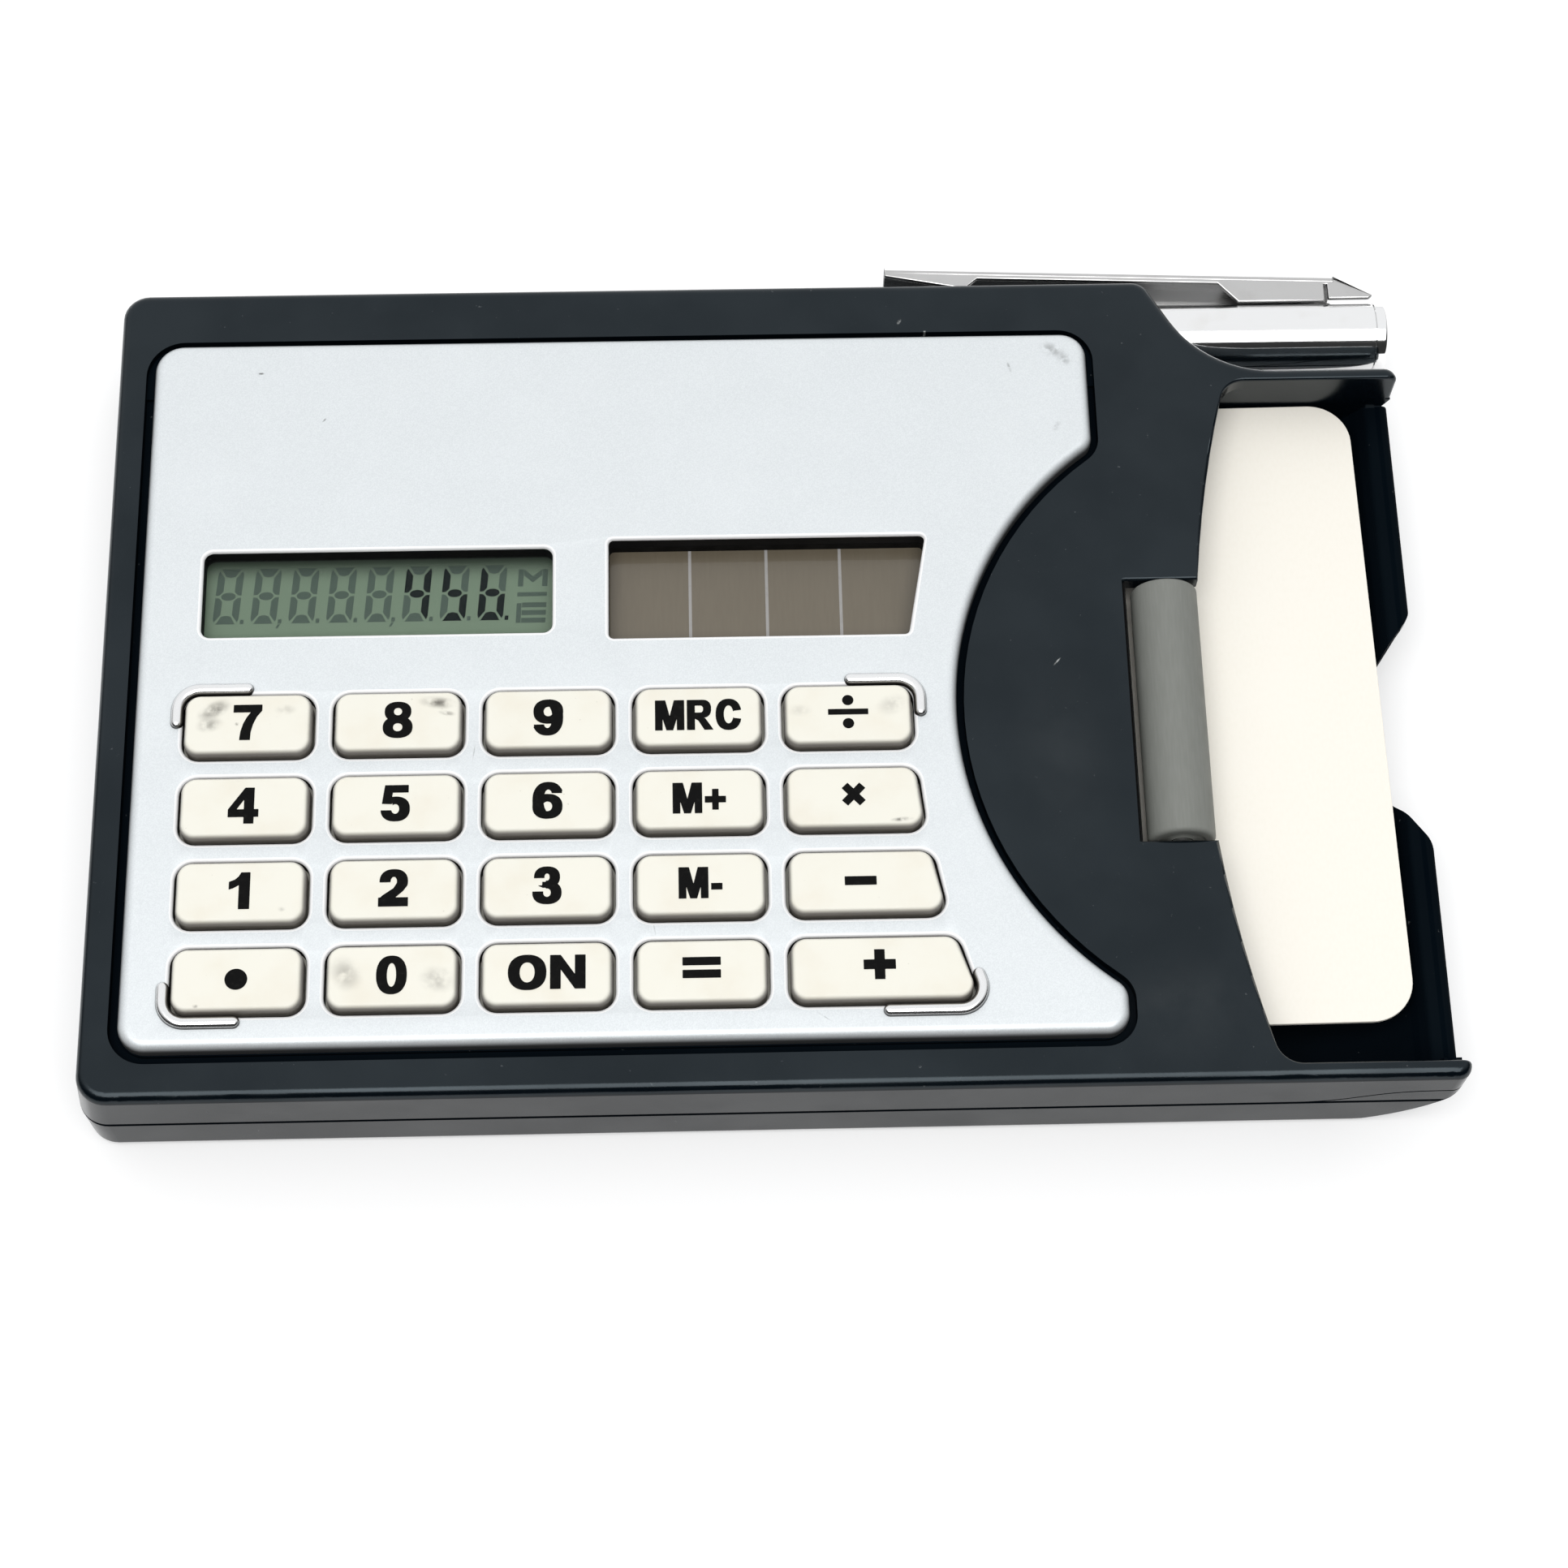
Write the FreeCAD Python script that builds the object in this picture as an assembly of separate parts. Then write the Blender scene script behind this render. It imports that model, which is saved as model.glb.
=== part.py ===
import FreeCAD, Part
import math
import os

# A pocket calculator set into the lid of a business-card dispenser, with a pen along its
# rear edge. Sizes are in millimetres and +Z is up. The underside is at height zero, its
# middle is the origin, +X points to the end where the cards come out and +Y to the pen.

# The card, and the room round it, set the length and the depth of the case
CARD_LENGTH = 88.9
CARD_WIDTH = 50.8
CARD_THICKNESS = 0.35
CARD_CORNER = 3.2
CARD_SKEW_DEG = 0.6
CARD_LEFT_PLAY = 6.0
CARD_NOSE_GAP = 2.8
CARD_SIDE_PLAY = 4.4
CARD_REAR_GAP = 0.15

# The pen sets the width of the strip behind the cards
PEN_DIAMETER = 5.4
PEN_WALL = 0.4
PEN_TIP_INSET = 3.5
PEN_END_PROUD = 0.1
PEN_NOSE_LENGTH = 14.0
PEN_CAP_LENGTH = 0.9
PEN_PLUG_LENGTH = 4.0
REFILL_RADIUS = 1.2
REFILL_NECK_RADIUS = 0.6
REFILL_LENGTH = 62.0
TUNNEL_CLEARANCE = 0.15
TUNNEL_REAR_WALL = 0.5
TUNNEL_FRONT_WALL = 2.9
TUNNEL_ROOF = 0.75

# Both shells
WALL = 1.3
FLOOR = 1.2
ROOF = 1.4
PARTING = 5.0
SHADOW_GAP = 0.2
SHADOW_DEPTH = 0.4
TOP_EDGE = 0.75
BOTTOM_EDGE = 0.8
SIDE_FLARE = 0.5
SIDE_TUCK = 0.25
CORNER_REAR_LEFT = 2.0
CORNER_FRONT_LEFT = 2.2
CORNER_RIGHT = 1.0
PEN_CUT_START = 19.3
PEN_CUT_END = 14.7
PEN_CUT_CORNER = 1.5
PEN_CUT_SWEEP = 9.0
RAIL_WIDTH = 1.1

# The bow at the right end of the base, and the lip that the card slides over
BOW_RADIUS = 11.3
LIP_CORNER = 7.2
LIP_DROP = 0.1
LIP_SHOULDER = 1.2
RISE_LENGTH = 11.5
NOTCH_MOUTH = 18.9
NOTCH_SEAT = 7.6
NOTCH_DEPTH = 4.2
NOTCH_CORNER = 3.0
NOTCH_ROUND = 2.5

# The heights from the floor up to the key tops
SPRING_ROOM = 4.3
LIFT_THICKNESS = 0.7
CARD_REST_GAP = 0.05
DECK_GAP = 0.25
TRAY_FLOOR = 0.6
BOARD_GAP = 0.15
BOARD = 0.7
WEB = 0.3
KEY_TRAVEL = 0.6
STOP_GAP = 0.05
KEY_FLANGE = 0.7
RECESS_DEPTH = 0.6
PLATE = 1.3
KEY_PROUD = 0.9

# The card window and the roller
WINDOW_LENGTH = 17.35
WINDOW_ARCH_RADIUS = 100.0
WINDOW_CORNER = 2.0
WINDOW_EDGE_SHARE = 0.7
ROLLER_DIAMETER = 5.0
ROLLER_LENGTH = 20.4
ROLLER_INSET = 1.95
ROLLER_LIFT = 0.1
ROLLER_SIDE_GAP = 0.35
ROLLER_SLOT_GAP = 1.05
ROLLER_EDGE = 0.35
AXLE_RADIUS = 0.8
AXLE_SEAT = 1.8
RUNNING_CLEARANCE = 0.05
EAR_DROP = 1.5
EAR_WIDTH = 3.4

# The faceplate
LAND = 6.95
PLATE_LEFT_MARGIN = 3.0
PLATE_REAR_MARGIN = 5.15
PLATE_FRONT_MARGIN = 3.45
PLATE_GROOVE = 0.7
PLATE_MOAT = 0.3
PLATE_LEDGE = 1.0
PLATE_EDGE = 0.6
PLATE_REAR_LEFT = 2.2
PLATE_REAR_RIGHT = 2.0
PLATE_FRONT_LEFT = 2.0
PLATE_TOE = 1.7
SCALLOP_RADIUS = 26.8
SCALLOP_DEPTH = 11.3
SCALLOP_CORNER = 1.6

# The keys
KEY_ROWS = 4
KEY_COLUMNS = 5
KEY_LEFT_MARGIN = 3.8
KEY_SCALLOP_MARGIN = 3.31
KEY_FRONT_MARGIN = 2.71
KEY_GAP_X = 1.66
KEY_GAP_Y = 1.77
KEY_HEIGHT = 4.81
KEY_CORNER = 1.1
KEY_EDGE = 0.4
KEY_CLEARANCE = 0.12
KEY_FLANGE_GROW = 0.35
KEY_ARCH_RADIUS = 65.0
PLUNGER_RADIUS = 1.4
PLUNGER_LENGTH = 0.3
PAD_RADIUS = 1.7
PAD_THICKNESS = 0.03
WEB_MARGIN = 0.9

# The raised ribs at the corners of the key field
RIB_WIDTH = 0.85
RIB_HEIGHT = 0.45
RIB_GAP = 0.06
RIB_ARM_X = 5.8
RIB_ARM_Y = 3.7
RIB_CORNER = 1.6
RIB_END = 0.3

# The display and the solar cell
DISPLAY_RISE = 8.39
LCD_LEFT = 0.77
LCD_LENGTH = 26.1
LCD_HEIGHT = 7.0
SOLAR_SPACING = 4.2
SOLAR_HEIGHT = 8.16
SOLAR_SLANT = 1.3
WINDOW_RADIUS = 0.4
GLASS_MARGIN = 0.6
GLASS = 0.65
GLASS_OVERHANG = 2.0
CONNECTOR_WIDTH = 1.5
SOLAR_CELL_THICKNESS = 1.1
FOAM_INSET = 1.6
LEAD_RADIUS = 0.25

# The module below the faceplate
TRAY_OUTSET = 0.15
TRAY_REAR_GAP = 0.2
BOARD_EDGE_GAP = 0.2
POST_RADIUS = 1.3
BOSS_RADIUS = 1.1
BOSS_CLEARANCE = 0.3
SCREW_RADIUS = 0.5
SCREW_HEAD_RADIUS = 0.9
SCREW_HEAD = 0.5
SCREW_GAP = 0.05
POST_HEIGHT = 0.4
CELL_DIAMETER = 6.8
CELL_HEIGHT = 2.1
CONTACT = 0.15
CONTACT_WIDTH = 2.0
CONTACT_REACH = 4.6
CHIP_SHARE = 0.3
CHIP_HEIGHT = 0.8

# The sprung plate below the cards
LIFT_LEFT = 12.0
LIFT_RIGHT_GAP = 2.5
LIFT_EDGE_INSET = 5.4
LIFT_SKIRT = 0.9
LIFT_SKIRT_WIDTH = 1.2
LIFT_CORNER = 1.0
GUIDE_HEIGHT = 3.7
GUIDE_LEG = 4.0
GUIDE_WALL = 0.8
GUIDE_CLEARANCE = 0.2
LEAF_LENGTH = 54.0
LEAF_WIDTH = 12.0
LEAF_THICKNESS = 0.25

# The screws that hold the shells together
CASE_BOSS_RADIUS = 0.95
CASE_SCREW_LEFT = 5.0
CASE_SCREW_RIGHT = 24.0
CASE_SCREW_HEIGHT = 8.0
CASE_HEAD_SINK = 0.1
CASE_HEAD_RADIUS = 0.85
CASE_HEAD = 0.8

# The pen clip, measured along the case from its right end and outward from its rear face
CLIP_SHEET = 0.4
CLIP_HALF_HEIGHT = 2.1
CLIP_TIP = 39.4
CLIP_TIP_OUT = 2.2
CLIP_TIP_FLANGE = 0.6
CLIP_BUMP = 33.3
CLIP_BUMP_HALF = 0.3
CLIP_BUMP_OUT = 0.45
CLIP_STRIP_START = 32.1
CLIP_STRIP_END = 13.1
CLIP_STRIP = 0.68
CLIP_WIDE_START = 11.6
CLIP_WIDE_END = 4.75
CLIP_SLIT = 0.3
CLIP_SLIT_OUT = 0.3
CLIP_TONGUE_OUT = -1.0
CLIP_POINT = 0.95
CLIP_POINT_OUT = -0.75
CLIP_BEND = 3.9
CLIP_BEND_OUT = 0.85
CLIP_GRIP = 1.5

# Everything below follows from the sizes above
CASE_LENGTH = WALL + CARD_LEFT_PLAY + CARD_LENGTH + CARD_NOSE_GAP
BORE_RADIUS = PEN_DIAMETER / 2 + TUNNEL_CLEARANCE
REAR_ZONE = TUNNEL_REAR_WALL + 2 * BORE_RADIUS + TUNNEL_FRONT_WALL
CASE_DEPTH = REAR_ZONE + CARD_WIDTH + CARD_SIDE_PLAY + WALL
LEFT = -CASE_LENGTH / 2
RIGHT = CASE_LENGTH / 2
REAR = CASE_DEPTH / 2
FRONT = -CASE_DEPTH / 2
BAY_REAR = REAR - REAR_ZONE
BAY_FRONT = FRONT + WALL
BAY_MID = (BAY_REAR + BAY_FRONT) / 2
BEYOND = 2.0

LIFT_BOTTOM = FLOOR + SPRING_ROOM
LIFT_TOP = LIFT_BOTTOM + LIFT_THICKNESS
CARD_BOTTOM = LIFT_TOP + CARD_REST_GAP
CARD_TOP = CARD_BOTTOM + CARD_THICKNESS
TRAY_BOTTOM = CARD_TOP + DECK_GAP
TRAY_TOP = TRAY_BOTTOM + TRAY_FLOOR
BOARD_BOTTOM = TRAY_TOP + BOARD_GAP
BOARD_TOP = BOARD_BOTTOM + BOARD
WEB_TOP = BOARD_TOP + WEB
FLANGE_BOTTOM = WEB_TOP + KEY_TRAVEL + STOP_GAP
FLANGE_TOP = FLANGE_BOTTOM + KEY_FLANGE
PLATE_BOTTOM = FLANGE_TOP + STOP_GAP
PLATE_TOP = PLATE_BOTTOM + PLATE
KEY_TOP = PLATE_TOP + KEY_PROUD
SHELL_TOP = PLATE_BOTTOM + RECESS_DEPTH
ROOF_BOTTOM = SHELL_TOP - ROOF
GLASS_TOP = PLATE_BOTTOM - STOP_GAP

PEN_RADIUS = PEN_DIAMETER / 2
PEN_Y = REAR - TUNNEL_REAR_WALL - BORE_RADIUS
PEN_Z = SHELL_TOP - TUNNEL_ROOF - BORE_RADIUS
PEN_TIP = LEFT + PEN_TIP_INSET
PEN_END = RIGHT + PEN_END_PROUD

BOW_START = RIGHT - math.sqrt(BOW_RADIUS ** 2 - (BOW_RADIUS - LIP_CORNER) ** 2)
LIP_TOP = CARD_BOTTOM - LIP_DROP
LIP_MIDLINE = BOW_RADIUS - FLOOR / 2
LIP_ANGLE = math.acos((BOW_RADIUS + FLOOR / 2 - LIP_TOP) / LIP_MIDLINE)

WINDOW_LEFT = RIGHT - WINDOW_LENGTH
ROLLER_X = WINDOW_LEFT - ROLLER_INSET
ROLLER_Z = CARD_TOP + ROLLER_LIFT + ROLLER_DIAMETER / 2
SLOT_HALF = ROLLER_LENGTH / 2 + ROLLER_SIDE_GAP
WINDOW_EDGE = WINDOW_EDGE_SHARE * (RAIL_WIDTH - TOP_EDGE)

FACE_LEFT = LEFT + PLATE_LEFT_MARGIN
FACE_RIGHT = WINDOW_LEFT - LAND
FACE_REAR = REAR - PLATE_REAR_MARGIN
FACE_FRONT = FRONT + PLATE_FRONT_MARGIN
SCALLOP_LEFT = FACE_RIGHT - SCALLOP_DEPTH
SCALLOP_X = SCALLOP_LEFT + SCALLOP_RADIUS
TRAY_REAR = BAY_REAR - TRAY_REAR_GAP

KEYS_LEFT = FACE_LEFT + KEY_LEFT_MARGIN
KEYS_RIGHT = SCALLOP_LEFT - KEY_SCALLOP_MARGIN
KEYS_FRONT = FACE_FRONT + KEY_FRONT_MARGIN
KEY_WIDTH = (KEYS_RIGHT - KEYS_LEFT - (KEY_COLUMNS - 1) * KEY_GAP_X) / KEY_COLUMNS
KEYS_REAR = KEYS_FRONT + KEY_ROWS * KEY_HEIGHT + (KEY_ROWS - 1) * KEY_GAP_Y

DISPLAY_Y = KEYS_REAR + DISPLAY_RISE
LCD_X0 = KEYS_LEFT + LCD_LEFT
LCD_X1 = LCD_X0 + LCD_LENGTH
SOLAR_X0 = LCD_X1 + SOLAR_SPACING
SOLAR_X1 = KEYS_RIGHT
CONNECTOR_REAR = DISPLAY_Y + LCD_HEIGHT / 2 + GLASS_MARGIN + GLASS_OVERHANG
BOARD_REAR = TRAY_REAR - PLATE_LEDGE - BOARD_EDGE_GAP
CHIP_RADIUS = CHIP_SHARE * (BOARD_REAR - CONNECTOR_REAR)

CARD_TILT = math.radians(CARD_SKEW_DEG)
CARD_SPAN_X = CARD_LENGTH * math.cos(CARD_TILT) + CARD_WIDTH * math.sin(CARD_TILT)
CARD_SPAN_Y = CARD_WIDTH * math.cos(CARD_TILT) + CARD_LENGTH * math.sin(CARD_TILT)
CARD_X = RIGHT - CARD_NOSE_GAP - CARD_SPAN_X / 2
CARD_Y = BAY_REAR - CARD_REAR_GAP - CARD_SPAN_Y / 2

LIFT_X0 = LEFT + LIFT_LEFT
LIFT_X1 = BOW_START - LIFT_RIGHT_GAP
LIFT_Y0 = CARD_Y - CARD_WIDTH / 2 + LIFT_EDGE_INSET
LIFT_Y1 = CARD_Y + CARD_WIDTH / 2 - LIFT_EDGE_INSET
LIFT_MID = (LIFT_X0 + LIFT_X1) / 2

KEY_NAMES = [
    ["key_7", "key_8", "key_9", "key_mrc", "key_divide"],
    ["key_4", "key_5", "key_6", "key_m_plus", "key_multiply"],
    ["key_1", "key_2", "key_3", "key_m_minus", "key_minus"],
    ["key_point", "key_0", "key_on", "key_equals", "key_plus"],
]


def vec(x, y, z):
    return FreeCAD.Vector(x, y, z)


def box(x0, x1, y0, y1, z0, z1):
    return Part.makeBox(x1 - x0, y1 - y0, z1 - z0, vec(x0, y0, z0))


def rod_x(radius, x0, x1, y, z):
    return Part.makeCylinder(radius, x1 - x0, vec(x0, y, z), vec(1, 0, 0))


def rod_y(radius, y0, y1, x, z):
    return Part.makeCylinder(radius, y1 - y0, vec(x, y0, z), vec(0, 1, 0))


def rod_z(radius, z0, z1, x, y):
    return Part.makeCylinder(radius, z1 - z0, vec(x, y, z0))


def joined(shapes):
    return shapes[0].multiFuse(shapes[1:]).removeSplitter()


def rounded_wire(corners, z):
    """A closed outline through corners (x, y, radius), each rounded by an arc."""
    starts = []
    middles = []
    ends = []
    count = len(corners)
    for i in range(count):
        x, y, radius = corners[i]
        here = vec(x, y, z)
        before = vec(corners[i - 1][0], corners[i - 1][1], z) - here
        after = vec(corners[(i + 1) % count][0], corners[(i + 1) % count][1], z) - here
        before.normalize()
        after.normalize()
        half = before.getAngle(after) / 2
        reach = radius / math.tan(half)
        bisector = before + after
        bisector.normalize()
        starts.append(here + before * reach)
        middles.append(here + bisector * (radius / math.sin(half) - radius))
        ends.append(here + after * reach)
    edges = []
    for i in range(count):
        edges.append(Part.Arc(starts[i], middles[i], ends[i]).toShape())
        edges.append(Part.makeLine(ends[i], starts[(i + 1) % count]))
    return Part.Wire(edges)


def prism(corners, z0, z1):
    return Part.Face(rounded_wire(corners, z0)).extrude(vec(0, 0, z1 - z0))


def side_prism(edges, y1):
    """A solid from a closed chain of edges in a plane across Y, pulled to y1."""
    face = Part.Face(Part.Wire(edges))
    return face.extrude(vec(0, y1 - face.BoundBox.YMin, 0))


def side_lines(points, y):
    """Straight edges through points (x, z) at one y."""
    spots = [vec(x, y, z) for x, z in points]
    return [Part.makeLine(a, b) for a, b in zip(spots, spots[1:])]


def edges_at_height(solid, z):
    """All edges of a solid that lie flat at one height."""
    found = []
    for edge in solid.Edges:
        bounds = edge.BoundBox
        if abs(bounds.ZMin - z) < 0.01 and abs(bounds.ZMax - z) < 0.01:
            found.append(edge)
    return found


def case_outline(inset, flare):
    """The plan of both shells, with the sweep at the rear right that bares the pen."""
    rail = BAY_REAR + RAIL_WIDTH - inset
    left = LEFT - flare + inset
    return [
        (left, REAR - inset, CORNER_REAR_LEFT - inset),
        (RIGHT - PEN_CUT_START - inset, REAR - inset, PEN_CUT_CORNER - inset),
        (RIGHT - PEN_CUT_END - inset, rail, PEN_CUT_SWEEP + inset),
        (RIGHT - inset, rail, CORNER_RIGHT - inset),
        (RIGHT - inset, FRONT + inset, CORNER_RIGHT - inset),
        (left, FRONT + inset, CORNER_FRONT_LEFT - inset),
    ]


def parting_edges(shift, y):
    """The joint line seen from the front, level and then rising to the lip."""
    low = PARTING + shift
    high = LIP_CORNER + shift
    start = RIGHT - RISE_LENGTH - BEYOND / 2
    end = RIGHT - BEYOND
    middle = (start + end) / 2
    rise = Part.BezierCurve()
    rise.setPoles([vec(start, y, low), vec(middle, y, low), vec(middle, y, high), vec(end, y, high)])
    level = side_lines([(LEFT - BEYOND, low), (start, low)], y)
    tail = side_lines([(end, high), (RIGHT + BEYOND, high)], y)
    return level + [rise.toShape()] + tail


def beside_parting(shift, far_z):
    """Everything between the joint line and one height above or below it."""
    y = FRONT - BEYOND
    near = LEFT - BEYOND
    far = RIGHT + BEYOND
    back = [(far, LIP_CORNER + shift), (far, far_z), (near, far_z), (near, PARTING + shift)]
    return side_prism(parting_edges(shift, y) + side_lines(back, y), REAR + BEYOND)


def bow_point(radius, angle, y):
    return vec(BOW_START + radius * math.sin(angle), y, BOW_RADIUS - radius * math.cos(angle))


def bow_region(radius, left, low, stop_z, y0, y1):
    """Everything above a level floor that sweeps up along an arc at the right end."""
    angle = math.acos((BOW_RADIUS - stop_z) / radius)
    stop = bow_point(radius, angle, y0)
    top = KEY_TOP + BEYOND
    arc = Part.Arc(vec(BOW_START, y0, low), bow_point(radius, angle / 2, y0), stop).toShape()
    floor = side_lines([(left, low), (BOW_START, low)], y0)
    back = side_lines([(stop.x, stop.z), (stop.x, top), (left, top), (left, low)], y0)
    return side_prism(floor + [arc] + back, y1)


def thumb_notch():
    """The scoop in the lip, rounded where it meets the right end."""
    seat = RIGHT - NOTCH_DEPTH
    far = RIGHT + BEYOND
    reach = NOTCH_MOUTH / 2 + NOTCH_ROUND
    half = [
        (seat, NOTCH_SEAT / 2, NOTCH_CORNER),
        (RIGHT, NOTCH_MOUTH / 2, NOTCH_ROUND),
        (RIGHT, reach, BEYOND / 10),
        (far, reach, BEYOND / 10),
    ]
    front = [(x, BAY_MID - y, radius) for x, y, radius in half]
    rear = [(x, BAY_MID + y, radius) for x, y, radius in reversed(half)]
    return prism(front + rear, -BEYOND, KEY_TOP)


def case_screw_spots():
    rear_y = BAY_REAR + TUNNEL_FRONT_WALL / 2
    front_y = BAY_FRONT + CASE_BOSS_RADIUS - SHADOW_GAP / 2
    return [(x, y) for x in (LEFT + CASE_SCREW_LEFT, RIGHT - CASE_SCREW_RIGHT) for y in (rear_y, front_y)]


def pen_bore():
    return rod_x(BORE_RADIUS, PEN_TIP - SHADOW_GAP, RIGHT + BEYOND, PEN_Y, PEN_Z)


def screw_holes():
    """The holes for the case screws, with room for each head."""
    holes = []
    for x, y in case_screw_spots():
        holes.append(rod_z(SCREW_RADIUS, 0, CASE_SCREW_HEIGHT, x, y))
        holes.append(rod_z(CASE_HEAD_RADIUS + SCREW_GAP, -BEYOND, CASE_HEAD_SINK + CASE_HEAD, x, y))
    return Part.makeCompound(holes)


def lift_guides():
    """Four corner guides on the floor that keep the lift plate level."""
    x0 = LIFT_X0 - GUIDE_CLEARANCE
    x1 = LIFT_X1 + GUIDE_CLEARANCE
    y0 = LIFT_Y0 - GUIDE_CLEARANCE
    y1 = LIFT_Y1 + GUIDE_CLEARANCE
    wall = GUIDE_WALL
    outer = box(x0 - wall, x1 + wall, y0 - wall, y1 + wall, FLOOR / 2, FLOOR + GUIDE_HEIGHT)
    ring = outer.cut(box(x0, x1, y0, y1, 0, KEY_TOP))
    ring = ring.cut(box(x0 + GUIDE_LEG, x1 - GUIDE_LEG, FRONT, REAR, 0, KEY_TOP))
    return ring.cut(box(LEFT, RIGHT, y0 + GUIDE_LEG, y1 - GUIDE_LEG, 0, KEY_TOP))


def base_shell():
    body = prism(case_outline(0, SIDE_FLARE), 0, KEY_TOP)
    body = body.makeFillet(BOTTOM_EDGE, edges_at_height(body, 0))
    body = body.common(bow_region(BOW_RADIUS, LEFT - BEYOND, 0, LIP_CORNER, FRONT - BEYOND, REAR + BEYOND))
    body = body.common(beside_parting(0, -BEYOND))
    bay_stop = LIP_CORNER + BOTTOM_EDGE / 2
    body = body.cut(bow_region(BOW_RADIUS - FLOOR, LEFT + WALL, FLOOR, bay_stop, BAY_FRONT, BAY_REAR))
    lip_y = BAY_FRONT + LIP_SHOULDER
    lip_end = bow_point(BOW_RADIUS + BEYOND, LIP_ANGLE, lip_y)
    top = KEY_TOP + BEYOND
    far = RIGHT + 2 * BEYOND
    past_lip = [
        (BOW_START, BOW_RADIUS),
        (lip_end.x, lip_end.z),
        (far, lip_end.z),
        (far, top),
        (BOW_START, top),
        (BOW_START, BOW_RADIUS),
    ]
    body = body.cut(side_prism(side_lines(past_lip, lip_y), BAY_REAR))
    cap = bow_point(LIP_MIDLINE, LIP_ANGLE, 0)
    half = FLOOR / 2 - SCREW_GAP / 2
    edge = RIGHT - FLOOR / 2
    beads = [rod_y(half, lip_y, BAY_REAR, x, cap.z) for x in (cap.x, edge)]
    ledge = box(cap.x, edge, lip_y, BAY_REAR, cap.z - half, cap.z + half)
    well_front = PEN_Y - BORE_RADIUS
    well_end = RIGHT - PEN_CUT_START - WALL
    well = box(LEFT + WALL, well_end, well_front, REAR - WALL, FLOOR, PARTING + BEYOND)
    bosses = [rod_z(CASE_BOSS_RADIUS, FLOOR / 2, PARTING, x, y) for x, y in case_screw_spots()]
    body = body.cut(well)
    body = joined([body, ledge, lift_guides()] + beads + bosses)
    body = body.cut(thumb_notch())
    body = body.cut(pen_bore())
    return body.cut(screw_holes())


def plate_prism(grow, z0, z1):
    """The faceplate outline, grown or shrunk, with its round scallop at the right."""
    right = FACE_RIGHT + grow
    corners = [
        (FACE_LEFT - grow, FACE_REAR + grow, PLATE_REAR_LEFT + grow),
        (right, FACE_REAR + grow, PLATE_REAR_RIGHT + grow),
        (right, FACE_FRONT - grow, PLATE_TOE + grow),
        (FACE_LEFT - grow, FACE_FRONT - grow, PLATE_FRONT_LEFT + grow),
    ]
    radius = SCALLOP_RADIUS - grow
    body = prism(corners, z0, z1).cut(rod_z(radius, z0 - BEYOND, z1 + BEYOND, SCALLOP_X, BAY_MID))
    half = math.sqrt(radius ** 2 - (SCALLOP_X - right) ** 2)
    sharp = []
    for edge in body.Edges:
        bounds = edge.BoundBox
        upright = bounds.ZLength > (z1 - z0) / 2
        on_right = abs(bounds.Center.x - right) < 0.01
        on_arc = abs(abs(bounds.Center.y - BAY_MID) - half) < 0.01
        if upright and on_right and on_arc:
            sharp.append(edge)
    return body.makeFillet(SCALLOP_CORNER + grow, sharp)


def below_tray_rear(shape, gap):
    """Keeps what lies in front of the rear edge of the tray."""
    return shape.common(box(LEFT, RIGHT, FRONT, TRAY_REAR - gap, -BEYOND, KEY_TOP + BEYOND))


def card_window():
    """The opening over the end of the card, arched on its left and open on its right."""
    tall = 2 * BEYOND + KEY_TOP
    right = RIGHT + BEYOND
    arch = rod_z(WINDOW_ARCH_RADIUS, -BEYOND, tall, WINDOW_LEFT + WINDOW_ARCH_RADIUS, BAY_MID)
    opening = arch.common(box(WINDOW_LEFT - BEYOND, right, BAY_FRONT, BAY_REAR, PARTING, KEY_TOP))
    corners = []
    for edge in opening.Edges:
        bounds = edge.BoundBox
        if bounds.ZLength > KEY_PROUD and bounds.Center.x < RIGHT:
            corners.append(edge)
    return opening.makeFillet(WINDOW_CORNER, corners)


def roller_slot():
    x0 = ROLLER_X - ROLLER_DIAMETER / 2 - ROLLER_SLOT_GAP
    x1 = WINDOW_LEFT + WINDOW_CORNER
    corners = [
        (x0, BAY_MID + SLOT_HALF, 0.6),
        (x1, BAY_MID + SLOT_HALF, 0.2),
        (x1, BAY_MID - SLOT_HALF, 0.2),
        (x0, BAY_MID - SLOT_HALF, 0.6),
    ]
    return prism(corners, PARTING, KEY_TOP)


def window_rim(body):
    """The top edges of the card window and the roller slot."""
    rim = []
    for edge in edges_at_height(body, SHELL_TOP):
        bounds = edge.BoundBox
        if bounds.XMin > FACE_RIGHT and bounds.YMin > BAY_FRONT - 0.01 and bounds.YMax < BAY_REAR + 0.01:
            rim.append(edge)
    return rim


def roller_ears():
    """Two blocks below the roof that hold the ends of the axle."""
    ears = []
    for side in (-1, 1):
        y_slot = BAY_MID + side * SLOT_HALF
        y_far = BAY_MID + side * (SLOT_HALF + AXLE_SEAT)
        x0 = ROLLER_X - EAR_WIDTH / 2
        low = ROOF_BOTTOM - EAR_DROP
        high = ROOF_BOTTOM + ROOF / 2
        ears.append(box(x0, x0 + EAR_WIDTH, min(y_slot, y_far), max(y_slot, y_far), low, high))
    return ears


def axle_seats():
    """The round seats in the ears, with the necks that the axle snaps through."""
    reach = SLOT_HALF + AXLE_SEAT
    seat = rod_y(AXLE_RADIUS, BAY_MID - reach, BAY_MID + reach, ROLLER_X, ROLLER_Z)
    neck = AXLE_RADIUS - RUNNING_CLEARANCE * 2
    slot = box(ROLLER_X - neck, ROLLER_X + neck, BAY_MID - reach, BAY_MID + reach, PARTING, ROLLER_Z)
    return Part.makeCompound([seat, slot])


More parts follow.
